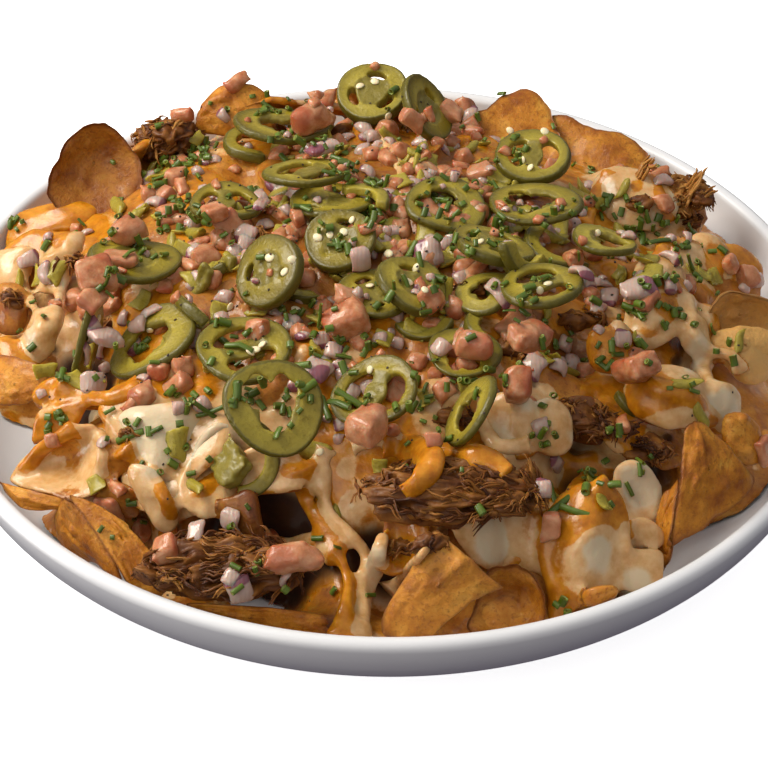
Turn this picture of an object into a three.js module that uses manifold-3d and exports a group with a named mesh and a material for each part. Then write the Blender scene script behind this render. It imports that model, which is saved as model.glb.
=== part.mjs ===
// Loaded nachos in a white coupe bowl: a pile of fried corn chips bound with cheese sauce,
// topped with pulled pork, pickled jalapeno slices, diced tomato, red onion and cut chives.
// Millimetres, +Z up, origin at the middle of the bowl's foot. -Y is the side that faces the diner.
import * as THREE from "three";
import { mergeVertices } from "three/addons/utils/BufferGeometryUtils.js";
import Module from "manifold-3d";

const wasm = await Module();
wasm.setup();

// ---- Driving sizes -------------------------------------------------------------------------
const BOWL_ACROSS = 290;
const BOWL_TALL = 45;
const BOWL_WALL = 5.5; // thickness of the wall and of the rounded rim
const FOOT_ACROSS = 152;
const FOOT_WIDE = 7;
const FOOT_TALL = 6;
const FLOOR_THICK = 5;
const BOWL_SECTORS = 40;
const WALL_STEPS = 6;
const WALL_FULLNESS = 0.91; // under 1 the wall bulges past a quarter of an ellipse

const PILE_ACROSS = 268; // where the pile meets the wall of the bowl
const PILE_FOOT = 38; // height of that meeting line
const PILE_PEAK = 75; // height of the middle of the pile, without its toppings
const PILE_CELL = 12; // grid of the pile's top surface
const FOOD_GAP = 0.5; // clear space between the food and the bowl

const CHIP_THICK = 2;
const CLEAR = 0.35; // clear space round every piece that is not fused to the pile

const POD_WALL = 0.3; // jalapeno flesh, as a share of the slice's radius
const SLICE_SIDES = 15;
const DROP_FROM = 124; // height that toppings are let down from
const CHIVE_ACROSS = 2.9;

// ---- Small helpers -------------------------------------------------------------------------
const rad = THREE.MathUtils.degToRad;
const { lerp } = THREE.MathUtils;

// A seeded draw from 0 to 1, so that every build gives the same pile.
function drawer(seed) {
  let state = seed;
  return () => {
    state = (state + 0x6d2b79f5) | 0;
    let t = Math.imul(state ^ (state >>> 15), 1 | state);
    t = (t + Math.imul(t ^ (t >>> 7), 61 | t)) ^ t;
    return ((t ^ (t >>> 14)) >>> 0) / 4294967296;
  };
}

// A closed three.js geometry as a manifold-3d solid, turned face out.
function solidOf(geometry) {
  const loose = geometry.index ? geometry.toNonIndexed() : geometry.clone();
  const bare = new THREE.BufferGeometry().setAttribute("position", loose.getAttribute("position"));
  const merged = mergeVertices(bare, 1e-3);
  const corners = merged.index.array;
  const vertProperties = new Float32Array(merged.attributes.position.array);
  const kept = [];
  for (let i = 0; i < corners.length; i += 3) {
    const [a, b, c] = [corners[i], corners[i + 1], corners[i + 2]];
    if (a !== b && b !== c && a !== c) kept.push(a, b, c);
  }
  const build = (list) =>
    new wasm.Manifold(new wasm.Mesh({ numProp: 3, vertProperties, triVerts: new Uint32Array(list) }));
  const solid = build(kept);
  if (solid.volume() > 0) return solid;
  for (let i = 0; i < kept.length; i += 3) [kept[i + 1], kept[i + 2]] = [kept[i + 2], kept[i + 1]];
  return build(kept);
}

function geometryOf(solid) {
  const { numProp, numVert, vertProperties, triVerts } = solid.getMesh();
  const positions = new Float32Array(numVert * 3);
  for (let i = 0; i < numVert; i++) {
    positions.set(vertProperties.subarray(i * numProp, i * numProp + 3), i * 3);
  }
  return new THREE.BufferGeometry()
    .setAttribute("position", new THREE.BufferAttribute(positions, 3))
    .setIndex(new THREE.BufferAttribute(new Uint32Array(triVerts), 1));
}

// The largest body of a solid: loose scraps that a cut leaves are dropped.
function largest(solid) {
  const bodies = solid.decompose();
  return bodies.reduce((best, body) => (body.volume() > best.volume() ? body : best), bodies[0]);
}

// A pose: spin about the piece's own axis, then lean from upright toward a compass direction.
function pose({ at, lean = 0, toward = 0, spin = 0 }) {
  const heading = new THREE.Vector3(Math.cos(rad(toward)), Math.sin(rad(toward)), 0);
  const tipAxis = new THREE.Vector3(-heading.y, heading.x, 0);
  const turn = new THREE.Quaternion().setFromAxisAngle(tipAxis, rad(lean));
  turn.multiply(new THREE.Quaternion().setFromAxisAngle(new THREE.Vector3(0, 0, 1), rad(spin)));
  return new THREE.Matrix4().compose(new THREE.Vector3(...at), turn, new THREE.Vector3(1, 1, 1));
}

const posed = (geometry, place) => solidOf(geometry.clone().applyMatrix4(pose(place)));

// ---- The bowl ------------------------------------------------------------------------------
const RIM = BOWL_ACROSS / 2;
const ARC_START = FOOT_ACROSS / 2;

// The outer wall is a full quarter of an ellipse, from the foot (share 0) up to the rim (share 1).
function wallPoint(share, inset) {
  const angle = (1 - share) * (Math.PI / 2);
  const across = RIM - ARC_START - inset;
  const tall = BOWL_TALL - FOOT_TALL - inset;
  const out = Math.cos(angle) ** WALL_FULLNESS;
  const down = Math.sin(angle) ** WALL_FULLNESS;
  return new THREE.Vector2(ARC_START + across * out, BOWL_TALL - tall * down);
}

function revolve(profile, sectors) {
  return new THREE.LatheGeometry(profile, sectors).rotateX(Math.PI / 2);
}

function makeBowl() {
  const profile = [
    new THREE.Vector2(0, 2),
    new THREE.Vector2(ARC_START - FOOT_WIDE - 2, 2),
    new THREE.Vector2(ARC_START - FOOT_WIDE, 0),
    new THREE.Vector2(ARC_START - 1, 0),
  ];
  for (let i = 0; i < WALL_STEPS; i++) profile.push(wallPoint(i / WALL_STEPS, 0));
  // The rim is a half round as wide as the wall.
  const lip = BOWL_WALL / 2;
  for (const degrees of [0, 60, 120, 180]) {
    const x = RIM - lip + lip * Math.cos(rad(degrees));
    profile.push(new THREE.Vector2(x, BOWL_TALL - lip + lip * Math.sin(rad(degrees))));
  }
  for (let i = WALL_STEPS - 1; i > 0; i--) profile.push(wallPoint(i / WALL_STEPS, BOWL_WALL));
  profile.push(new THREE.Vector2(ARC_START * 0.9, 2 + FLOOR_THICK + 2.2));
  profile.push(new THREE.Vector2(0, 2 + FLOOR_THICK));
  return solidOf(revolve(profile, BOWL_SECTORS));
}

// The room for food: inside the bowl's wall, and straight up from its rim.
function makeRoom() {
  const inset = BOWL_WALL + FOOD_GAP;
  const profile = [new THREE.Vector2(0, 2 + FLOOR_THICK + FOOD_GAP)];
  profile.push(new THREE.Vector2(ARC_START * 0.8, 2 + FLOOR_THICK + 2 + FOOD_GAP));
  for (let i = 1; i <= WALL_STEPS; i++) {
    const point = wallPoint(i / WALL_STEPS, inset);
    profile.push(new THREE.Vector2(point.x - FOOD_GAP, point.y));
  }
  const edge = profile[profile.length - 1].x;
  profile.push(new THREE.Vector2(edge, 140), new THREE.Vector2(0, 140));
  return solidOf(revolve(profile, BOWL_SECTORS));
}

// ---- The pile's outline --------------------------------------------------------------------
// Mounds and hollows of the pile: middle, height gained or lost, and how far that spreads.
const SWELLS = [
  { x: -64, y: 78, rise: 8, spread: 26 },
  { x: -104, y: 26, rise: 5, spread: 22 },
  { x: -5, y: 88, rise: 4, spread: 11 },
  { x: 34, y: 60, rise: 4, spread: 40 },
  { x: 88, y: -30, rise: 5, spread: 24 },
  { x: 60, y: -90, rise: 5, spread: 20 },
  { x: -68, y: -72, rise: 5, spread: 18 },
  { x: -114, y: -46, rise: -40, spread: 15 },
  { x: 96, y: -92, rise: -34, spread: 16 },
  { x: -36, y: -98, rise: -26, spread: 12 },
  { x: -74, y: -96, rise: -20, spread: 11 },
  { x: 4, y: -108, rise: -14, spread: 10 },
  { x: 58, y: -30, rise: -12, spread: 9 },
  { x: 55, y: -74, rise: -12, spread: 9 },
  { x: -46, y: 52, rise: -10, spread: 10 },
  { x: -94, y: -30, rise: -12, spread: 10 },
];

function pileHeight(x, y) {
  const share = (x * x + y * y) / (PILE_ACROSS / 2) ** 2;
  const swell = SWELLS.reduce(
    (sum, s) => sum + s.rise * Math.exp(-((x - s.x) ** 2 + (y - s.y) ** 2) / (2 * s.spread ** 2)),
    0,
  );
  return Math.max(PILE_FOOT + (PILE_PEAK - PILE_FOOT) * (1 - share) + swell, 1);
}

// The core: the buried chips and filling, as a block under the pile's height.
function makeCore(grow) {
  const cells = Math.round(PILE_ACROSS / PILE_CELL) + 2;
  const side = cells * PILE_CELL;
  const block = new THREE.BoxGeometry(side, side, 1, cells, cells, 1);
  const points = block.attributes.position;
  for (let i = 0; i < points.count; i++) {
    const top = points.getZ(i) > 0;
    points.setZ(i, top ? pileHeight(points.getX(i), points.getY(i)) + 1.5 * grow : 0);
  }
  return solidOf(block);
}

// ---- Chips ---------------------------------------------------------------------------------
// A fried chip: a rounded triangle whose middle surface bends, folds and ripples.
// corner: how sharp the three corners are; bend: cupping along and across; fold: a crease down the middle.
function chipGeometry({ across, corner = 0.16, bend = [4, -2], fold = 0, ripple = 1, sides = 12, seed = 1, grow = 0 }) {
  const draw = drawer(seed * 977);
  const [phaseA, phaseB, phaseC] = [draw() * 6, draw() * 6, draw() * 6];
  const radius = across / 2;
  const outline = (angle) => {
    const wobble = 0.04 * Math.sin(2 * angle + phaseA) + 0.03 * Math.sin(5 * angle + phaseB);
    return radius * (0.9 + corner * Math.cos(3 * angle) + wobble) + grow;
  };
  const height = (s, t) => {
    const [a, b] = [s / radius, t / radius];
    const wave = ripple * Math.sin(3.1 * a + phaseC) * Math.cos(2.6 * b + phaseA);
    return bend[0] * a * a + bend[1] * b * b + fold * Math.abs(a) + wave;
  };
  const half = CHIP_THICK / 2 + grow;
  const shares = [0, 0.5, 1];
  const rows = shares.length - 1;
  const front = [];
  const back = [];
  const place = (s, t) => {
    const step = 0.5;
    const slopeS = (height(s + step, t) - height(s - step, t)) / (2 * step);
    const slopeT = (height(s, t + step) - height(s, t - step)) / (2 * step);
    const normal = new THREE.Vector3(-slopeS, -slopeT, 1).normalize();
    const middle = new THREE.Vector3(s, t, height(s, t));
    front.push(middle.clone().addScaledVector(normal, half));
    back.push(middle.clone().addScaledVector(normal, -half));
  };
  place(0, 0);
  for (let row = 1; row <= rows; row++) {
    for (let i = 0; i < sides; i++) {
      const angle = (i / sides) * 2 * Math.PI;
      const reach = outline(angle) * shares[row];
      place(reach * Math.cos(angle), reach * Math.sin(angle));
    }
  }
  const corners = [];
  const add = (a, b, c) => corners.push(a, b, c);
  const at = (row, i) => (row === 0 ? 0 : 1 + (row - 1) * sides + (i % sides));
  const behind = front.length;
  for (let i = 0; i < sides; i++) {
    add(0, at(1, i), at(1, i + 1));
    add(behind, behind + at(1, i + 1), behind + at(1, i));
    for (let row = 1; row < rows; row++) {
      const [a, b, c, d] = [at(row, i), at(row + 1, i), at(row + 1, i + 1), at(row, i + 1)];
      add(a, b, c);
      add(a, c, d);
      add(behind + a, behind + c, behind + b);
      add(behind + a, behind + d, behind + c);
    }
    const [e, f] = [at(rows, i), at(rows, i + 1)];
    add(e, behind + e, behind + f);
    add(e, behind + f, f);
  }
  const flat = [...front, ...back].flatMap((p) => [p.x, p.y, p.z]);
  return new THREE.BufferGeometry()
    .setAttribute("position", new THREE.Float32BufferAttribute(flat, 3))
    .setIndex(corners);
}

// Chips that stand clear of the sauce, each a piece of its own.
const BARE_CHIPS = {
  chip_back_left: { at: [-101, 60, 57], lean: 52, toward: 285, spin: 20, across: 42, corner: 0.1, bend: [7, 3] },
  chip_back_hump: { at: [-52, 90, 60], lean: 48, toward: 268, spin: 90, across: 38, corner: 0.1, bend: [-9, 2] },
  chip_back_right: { at: [44, 97, 52], lean: 38, toward: 262, spin: 70, across: 42, bend: [-5, 3] },
  chip_far_right: { at: [70, 90, 48], lean: 24, toward: 245, spin: 10, across: 42, bend: [-4, 2] },
  chip_left: { at: [-115, -36, 52], lean: 44, toward: 228, spin: 30, across: 40, bend: [-7, -2] },
  chip_left_rim: { at: [-100, -84, 45], lean: 16, toward: 235, spin: 95, across: 48, bend: [-3, 5] },
  chip_lower_left: { at: [-74, -108, 42], lean: 72, toward: 238, spin: 55, across: 56, bend: [8, 4] },
  chip_front_rim: { at: [-32, -124, 37], lean: 58, toward: 270, spin: 30, across: 52, bend: [-5, 2] },
  chip_front: { at: [14, -124, 46], lean: 50, toward: 262, spin: 92, across: 60, corner: 0.2, fold: -12, bend: [0, -3] },
  chip_front_inner: { at: [40, -117, 42], lean: 44, toward: 272, spin: 20, across: 42, bend: [8, 6] },
  chip_right_front: { at: [98, -86, 49], lean: 50, toward: 302, spin: 2, across: 46, corner: 0.22, bend: [-6, -3] },
  chip_right_nub: { at: [108, -54, 52], lean: 45, toward: 300, spin: 15, across: 38, corner: 0.08, bend: [-8, -6] },
  chip_right: { at: [112, -14, 53], lean: 36, toward: 290, spin: 45, across: 46, bend: [9, 4] },
};

// Chips under the sauce: they are one with the pile.
const COATED_CHIPS = [
  { at: [-106, 22, 52], lean: 24, toward: 240, spin: 25, across: 54, bend: [-6, 2] },
  { at: [-92, -72, 56], lean: 44, toward: 236, spin: 80, across: 50, bend: [7, 2] },
  { at: [-64, -82, 56], lean: 40, toward: 262, spin: 30, across: 54, bend: [-8, -3] },
  { at: [-40, -80, 57], lean: 36, toward: 292, spin: 60, across: 50, bend: [7, 3] },
  { at: [56, -112, 51], lean: 52, toward: 276, spin: 92, across: 56, bend: [-2, -9] },
  { at: [88, -14, 64], lean: 34, toward: 300, spin: 40, across: 46, bend: [6, -4] },
  { at: [82, -54, 59], lean: 34, toward: 278, spin: 70, across: 52, bend: [-6, 3] },
  { at: [42, -78, 61], lean: 32, toward: 292, spin: 100, across: 46, bend: [5, 5] },
  { at: [86, 56, 53], lean: 22, toward: 268, spin: 15, across: 48, bend: [-7, -2] },
  { at: [108, 18, 54], lean: 38, toward: 350, spin: 50, across: 50, bend: [4, -3] },
  { at: [-10, -104, 54], lean: 52, toward: 268, spin: 75, across: 48, bend: [-6, 2] },
  { at: [6, 114, 52], lean: 44, toward: 80, spin: 35, across: 56, bend: [5, 3] },
  { at: [-40, 112, 52], lean: 40, toward: 112, spin: 5, across: 54, bend: [-7, 3] },
  { at: [-88, 88, 46], lean: 50, toward: 140, spin: 20, across: 48, bend: [6, 3] },
];

// ---- Cheese sauce --------------------------------------------------------------------------
// A run of sauce: a flat round strand that follows the pile's top from the first point to the last.
const SAUCE_RUNS = [
  { wide: 11, thick: 6, via: [[-22, -84, 3], [-14, -104, 2], [-4, -126, 2]] },
  { wide: 7, thick: 5, via: [[6, -98, 3], [4, -114, 4], [2, -130, 2]] },
  { wide: 18, thick: 6, via: [[54, -86, 3], [56, -108, 6], [60, -124, 3]] },
  { wide: 20, thick: 6, via: [[-78, 34, 2], [-102, 18, 4], [-118, -2, 4]] },
];

function sauceRun({ wide, thick, via }, grow = 0) {
  const path = new THREE.CatmullRomCurve3(
    via.map(([x, y, lift]) => new THREE.Vector3(x, y, pileHeight(x, y) + lift)),
  );
  const section = new THREE.Shape();
  const sides = 6;
  for (let i = 0; i < sides; i++) {
    const angle = (i / sides) * 2 * Math.PI;
    const [a, b] = [(thick / 2 + grow) * Math.cos(angle), (wide / 2 + grow) * Math.sin(angle)];
    if (i === 0) section.moveTo(a, b);
    else section.lineTo(a, b);
  }
  const options = { steps: 4, bevelEnabled: false, extrudePath: path };
  return solidOf(new THREE.ExtrudeGeometry(section, options));
}

// ---- Pulled pork ---------------------------------------------------------------------------
const PORK_HEAPS = {
  pulled_pork_front_left: { at: [-44, -116, 46], size: [24, 11, 9], strands: 4, seed: 11 },
  pulled_pork_front: { at: [20, -98, 60], size: [25, 10, 9], strands: 4, seed: 12 },
  pulled_pork_back_right: { at: [98, 62, 54], size: [13, 9, 8], strands: 4, seed: 14 },
  pulled_pork_back_left: { at: [-77, 84, 57], size: [13, 9, 9], strands: 3, seed: 16 },
};

function porkHeap({ at, size, strands, seed }, grow = 0) {
  const draw = drawer(seed);
  const [a, b, c] = size;
  const lump = new THREE.SphereGeometry(1, 8, 5);
  lump.scale(a * 0.85 + grow, b * 0.85 + grow, c * 0.85 + grow).translate(...at);
  let heap = solidOf(lump);
  const width = 1.7 + grow;
  for (let i = 0; i < strands; i++) {
    // Each strand lies along the heap's side, and its middle bows out of the lump.
    const angle = (i / strands) * 2 * Math.PI + draw() * 0.5;
    const rise = lerp(0.15, 0.9, draw());
    const flat = Math.sqrt(1 - rise * rise);
    const heading = angle + Math.PI / 2 + (draw() - 0.5);
    const reach = lerp(0.4, 0.7, draw()) * a;
    const [x, y] = [at[0] + a * 0.88 * flat * Math.cos(angle), at[1] + b * 0.88 * flat * Math.sin(angle)];
    const z = at[2] + c * 0.88 * rise;
    const [aside, along] = [reach * Math.cos(heading), reach * Math.sin(heading) * 0.6];
    const path = new THREE.CatmullRomCurve3([
      new THREE.Vector3(x - aside, y - along, z - 2.5),
      new THREE.Vector3(x, y, z + 0.8),
      new THREE.Vector3(x + aside, y + along, z - lerp(1, 4, draw())),
    ]);
    const section = new THREE.Shape();
    section.moveTo(width, 0).lineTo(-width * 0.7, width).lineTo(-width * 0.7, -width);
    const options = { steps: 2, bevelEnabled: false, extrudePath: path };
    heap = heap.add(solidOf(new THREE.ExtrudeGeometry(section, options)));
  }
  return largest(heap);
}

// ---- Jalapeno slices -----------------------------------------------------------------------
// One seed chamber: part of a ring round the slice's middle, between two angles.
function chamber(from, to, inner, outer, sides = 3) {
  const hole = new THREE.Path();
  const corners = [];
  for (let i = 0; i <= sides; i++) corners.push([outer, lerp(from, to, i / sides)]);
  for (let i = sides - 1; i > 0; i--) corners.push([inner, lerp(from, to, i / sides)]);
  corners.forEach(([reach, degrees], i) => {
    const [x, y] = [reach * Math.cos(rad(degrees)), reach * Math.sin(rad(degrees))];
    if (i === 0) hole.moveTo(x, y);
    else hole.lineTo(x, y);
  });
  return hole;
}

// kind: "three" and "two" have that many seed chambers round a pale middle,
// "open" has lost its middle, and "full" has only a slit.
function sliceGeometry({ across, thick, kind, oval = 1, grow = 0 }) {
  const radius = across / 2;
  const outline = new THREE.Shape();
  for (let i = 0; i < SLICE_SIDES; i++) {
    const angle = (i / SLICE_SIDES) * 2 * Math.PI;
    const reach = radius * (1 + 0.03 * Math.cos(3 * angle)) + grow;
    const [x, y] = [reach * Math.cos(angle), reach * oval * Math.sin(angle)];
    if (i === 0) outline.moveTo(x, y);
    else outline.lineTo(x, y);
  }
  if (grow === 0) {
    const wall = radius * (1 - POD_WALL) * Math.min(1, oval);
    if (kind === "three") {
      for (const start of [10, 130, 250]) outline.holes.push(chamber(start, start + 80, wall * 0.5, wall, 2));
    }
    if (kind === "two") {
      for (const start of [20, 200]) outline.holes.push(chamber(start, start + 130, wall * 0.36, wall));
    }
    if (kind === "open") {
      const hole = new THREE.Path();
      for (let i = 0; i < 9; i++) {
        const angle = (i / 9) * 2 * Math.PI;
        const [x, y] = [wall * Math.cos(angle), wall * Math.sin(angle)];
        if (i === 0) hole.moveTo(x, y);
        else hole.lineTo(x, y);
      }
      outline.holes.push(hole);
    }
    if (kind === "full") outline.holes.push(chamber(30, 80, wall * 0.62, wall * 0.92, 2));
  }
  const depth = thick + 2 * grow;
  return new THREE.ExtrudeGeometry(outline, { depth, bevelEnabled: false, steps: 1 }).translate(0, 0, -depth / 2);
}

// The slices from the lowest to the highest, by where their middle lies on the plan.
const SLICES = [
  { at: [48, 22], lean: 12, toward: 86, spin: 10, across: 31, thick: 4, kind: "open" },
  { at: [30, -27], lean: 14, toward: 188, spin: 40, across: 20, thick: 4, kind: "open" },
  { at: [-3, -26], lean: 4, toward: 300, spin: 70, across: 24, thick: 4, kind: "full" },
  { at: [-18, 20], lean: 13, toward: 110, spin: 15, across: 27, thick: 4, kind: "full" },
  { at: [-95, -33], lean: 78, toward: 182, spin: 0, across: 29, thick: 4, kind: "open" },
  { at: [-77, -2], lean: 20, toward: 40, spin: 30, across: 31, thick: 5, kind: "full", oval: 0.8 },
  { at: [-55, 22], lean: 16, toward: 52, spin: 100, across: 24, thick: 5, kind: "two" },
  { at: [-36, 76], lean: 12, toward: 50, spin: 20, across: 35, thick: 5, kind: "open", oval: 0.82 },
  { at: [15, 74], lean: 62, toward: 355, spin: 30, across: 25, thick: 6, kind: "full" },
  { at: [-25, 31], lean: 15, toward: 104, spin: 60, across: 29, thick: 5, kind: "two" },
  { at: [22, 20], lean: 15, toward: 340, spin: 80, across: 27, thick: 5, kind: "open" },
  { at: [32, -7], lean: 6, toward: 37, spin: 120, across: 27, thick: 6, kind: "three" },
  { at: [46, -31], lean: 14, toward: 134, spin: 25, across: 25, thick: 5, kind: "two" },
  { at: [68, 6], lean: 22, toward: 31, spin: 45, across: 21, thick: 5, kind: "open" },
  { at: [-12, -5], lean: 16, toward: 224, spin: 10, across: 23, thick: 6, kind: "full" },
  { at: [11, -28], lean: 10, toward: 330, spin: 50, across: 23, thick: 6, kind: "full" },
  { at: [-74, -39], lean: 38, toward: 207, spin: 90, across: 30, thick: 5, kind: "open" },
  { at: [-41, -51], lean: 16, toward: 290, spin: 35, across: 29, thick: 5, kind: "two" },
  { at: [-3, -67], lean: 18, toward: 205, spin: 75, across: 27, thick: 5, kind: "two" },
  { at: [21, -51], lean: 14, toward: 33, spin: 15, across: 23, thick: 4, kind: "open" },
  { at: [-34, -79], lean: 16, toward: 320, spin: 55, across: 30, thick: 5, kind: "open" },
  { at: [24, -75], lean: 60, toward: 160, spin: 0, across: 24, thick: 4, kind: "open" },
  { at: [-35, -24], lean: 46, toward: 214, spin: 110, across: 27, thick: 7, kind: "full", oval: 0.9 },
  { at: [49, 48], lean: 20, toward: 262, spin: 85, across: 26, thick: 6, kind: "two" },
  { at: [-5, 88], lean: 14, toward: 250, spin: 30, across: 25, thick: 8, kind: "three" },
];

// ---- Diced tomato and red onion ------------------------------------------------------------
// A knife-cut block whose eight corners stray a little.
function blockGeometry({ size, seed, grow = 0 }) {
  const draw = drawer(seed * 131);
  const block = new THREE.BoxGeometry(...size.map((side) => side + 2 * grow));
  const shape = mergeVertices(block.deleteAttribute("normal").deleteAttribute("uv"), 1e-3);
  const points = shape.attributes.position;
  for (let i = 0; i < points.count; i++) {
    const stray = size.map((side) => (draw() - 0.5) * 0.28 * side);
    points.setXYZ(i, points.getX(i) + stray[0], points.getY(i) + stray[1], points.getZ(i) + stray[2]);
  }
  return shape;
}

// The largest dice, by where they lie on the plan.
const TOMATO_DICE = [
  { at: [-90, -19], size: [13, 12, 9], spin: 20 },
  { at: [-85, 4], size: [13, 9, 8], spin: 50 },
  { at: [-9, -40], size: [13, 11, 9], spin: 10 },
  { at: [-30, 70], size: [14, 9, 8], spin: 25 },
  { at: [24, -53], size: [10, 11, 9], spin: 75 },
  { at: [38, -64], size: [9, 11, 10], spin: 5 },
  { at: [41, -52], size: [13, 9, 8], spin: 40 },
  { at: [-2, -84], size: [12, 11, 9], spin: 60 },
  { at: [74, -50], size: [11, 12, 9], spin: 30 },
  { at: [-26, -118], size: [17, 8, 8], spin: 5 },
];
const ONION_DICE = [
  { at: [-86, -36], size: [11, 9, 4], spin: 35 },
  { at: [12, -6], size: [9, 10, 4], spin: 15 },
  { at: [-20, 46], size: [14, 7, 4], spin: 30 },
  { at: [-19, -60], size: [10, 9, 5], spin: 65 },
  { at: [77, -14], size: [11, 8, 5], spin: 20 },
];

// ---- Settling ------------------------------------------------------------------------------
const sharedVolume = (a, b) => a.intersect(b).volume();

function boxesMeet(a, b) {
  const [p, q] = [a.boundingBox(), b.boundingBox()];
  return [0, 1, 2].every((i) => p.min[i] < q.max[i] && q.min[i] < p.max[i]);
}
const meets = (a, b) => boxesMeet(a, b) && sharedVolume(a, b) > 1e-4;

// Lowers a piece, given with its clear space, onto what lies below, and returns its height.
function restingHeight(piece, stops) {
  const blocked = (z) => {
    const moved = piece.translate(0, 0, z);
    return stops.some((stop) => meets(moved, stop));
  };
  const stride = 2;
  let z = DROP_FROM;
  while (z > 0 && !blocked(z - stride)) z -= stride;
  let [free, stopped] = [z, z - stride];
  for (let i = 0; i < 3; i++) {
    const half = (free + stopped) / 2;
    if (blocked(half)) stopped = half;
    else free = half;
  }
  return free;
}

// Where a piece comes to rest: as it is laid or, if that holds it too high over the pile,
// after it has slid and tipped a little, whichever way lets it lie lowest.
function settle(makeGuard, place, stops, ease) {
  const [x, y] = place.at;
  const tries = [{ ...place, at: [x, y, 0] }];
  for (const turn of [0, 90, 180, 270]) {
    const slide = [x + 3 * Math.cos(rad(turn + 20)), y + 3 * Math.sin(rad(turn + 20)), 0];
    for (const tip of [-9, 9, 18]) {
      tries.push({ ...place, at: slide, lean: Math.abs(place.lean + tip), toward: place.toward + turn / 9 - 15 });
    }
  }
  let best = null;
  for (const attempt of tries) {
    const z = restingHeight(makeGuard(attempt), stops);
    if (!best || z < best.z) best = { z, attempt };
    if (best.z < pileHeight(x, y) + ease) break;
  }
  return { ...best.attempt, at: [best.attempt.at[0], best.attempt.at[1], best.z] };
}

// ---- Materials -----------------------------------------------------------------------------
const material = (color, roughness) => new THREE.MeshStandardMaterial({ color, roughness, metalness: 0 });
const porcelain = material("#e9e9ee", 0.2);
const cheeseAndChips = material("#d69a45", 0.4);
const friedCorn = material("#b9762b", 0.5);
const pulledPork = material("#7a4a22", 0.55);
const pickledPepper = material("#8f8c35", 0.35);
const tomatoFlesh = material("#c0684a", 0.35);
const onionFlesh = material("#c9a3a8", 0.35);

// ---- Assembly ------------------------------------------------------------------------------
const nachos = new THREE.Group();
nachos.name = "loaded_nachos";

function addNode(name, solid, finish) {
  const mesh = new THREE.Mesh(geometryOf(solid), finish);
  mesh.name = name;
  nachos.add(mesh);
}

const room = makeRoom();
const number = (i) => String(i + 1).padStart(2, "0");

// The bare pile: the core, the chips in it and the sauce that runs over them.
function makePile(grow = 0) {
  let pile = makeCore(grow);
  COATED_CHIPS.forEach((chip, i) => {
    const shape = { ...chip, sides: 9, seed: i + 40, grow };
    pile = pile.add(posed(chipGeometry(shape), chip));
  });
  for (const run of SAUCE_RUNS) pile = pile.add(sauceRun(run, grow));
  return pile;
}
let pile = makePile().intersect(room);
const pileGuard = makePile(CLEAR);

// Every piece that isn't fused to the pile, and the same with clear space round it.
const pieces = [];
const guards = [];
function keep(name, solid, guard, finish) {
  pieces.push({ name, solid, finish });
  guards.push(guard);
}
// Chips and pork stop where they meet the pile or an earlier piece.
const clearOf = (solid) => {
  const left = guards.reduce((rest, guard) => (boxesMeet(rest, guard) ? rest.subtract(guard) : rest), solid);
  return largest(left.subtract(pileGuard));
};

Object.entries(BARE_CHIPS).forEach(([name, chip], i) => {
  const make = (grow) => posed(chipGeometry({ ...chip, seed: i + 2, grow }), chip);
  keep(name, clearOf(make(0).intersect(room)), make(CLEAR), friedCorn);
});
for (const [name, heap] of Object.entries(PORK_HEAPS)) {
  keep(name, clearOf(porkHeap(heap).intersect(room)), porkHeap(heap, CLEAR), pulledPork);
}

// Slices and dice settle onto all of that.
SLICES.forEach((slice, i) => {
  const make = (place, grow) => posed(sliceGeometry({ ...slice, grow }), place);
  const place = settle((attempt) => make(attempt, CLEAR), slice, [pile, ...guards], slice.thick + 2);
  keep(`jalapeno_slice_${number(i)}`, make(place, 0), make(place, CLEAR), pickledPepper);
});
function dropBlocks(name, blocks, finish, seed) {
  const draw = drawer(seed);
  blocks.forEach((block, i) => {
    const laid = { ...block, lean: lerp(8, 34, draw()), toward: draw() * 360 };
    const make = (place, grow) => posed(blockGeometry({ size: block.size, seed: seed + i, grow }), place);
    const place = settle((attempt) => make(attempt, CLEAR), laid, [pile, ...guards], block.size[2]);
    keep(`${name}_${number(i)}`, make(place, 0), make(place, CLEAR), finish);
  });
}
dropBlocks("tomato_dice", TOMATO_DICE, tomatoFlesh, 5);
dropBlocks("onion_dice", ONION_DICE, onionFlesh, 7);

// Small toppings, fused to the pile where they are clear of every other piece.
function scatter(count, seed, make) {
  const draw = drawer(seed);
  const goldenTurn = 137.5;
  for (let i = 0; i < count; i++) {
    const reach = (PILE_ACROSS / 2 - 16) * Math.sqrt((i + 0.6) / count);
    const angle = rad(i * goldenTurn + (draw() - 0.5) * 30);
    const [x, y] = [reach * Math.cos(angle), reach * Math.sin(angle)];
    const tilt = { lean: draw() * 40, toward: draw() * 360, spin: draw() * 180 };
    const solid = make(draw, i, { ...tilt, at: [x, y, pileHeight(x, y) + 1.4] });
    const blocked = guards.some((guard) => meets(guard, solid));
    if (!blocked) pile = pile.add(solid.intersect(room));
  }
}
const smallDice = (draw, i, place) => {
  const side = lerp(6.5, 9.5, draw());
  return posed(blockGeometry({ size: [side, side * 0.85, i % 2 ? 4.5 : side * 0.8], seed: 60 + i }), place);
};
const chiveCut = (draw, i, place) => {
  const length = lerp(4, 8, draw());
  const tube = new THREE.CylinderGeometry(CHIVE_ACROSS / 2, CHIVE_ACROSS / 2, length, 5);
  return posed(tube.rotateX(Math.PI / 2), { ...place, lean: lerp(70, 95, draw()) });
};
scatter(36, 21, smallDice);
scatter(26, 33, chiveCut);

addNode("bowl", makeBowl(), porcelain);
addNode("nacho_pile", largest(pile), cheeseAndChips);
for (const { name, solid, finish } of pieces) addNode(name, solid, finish);

export default nachos;
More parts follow.
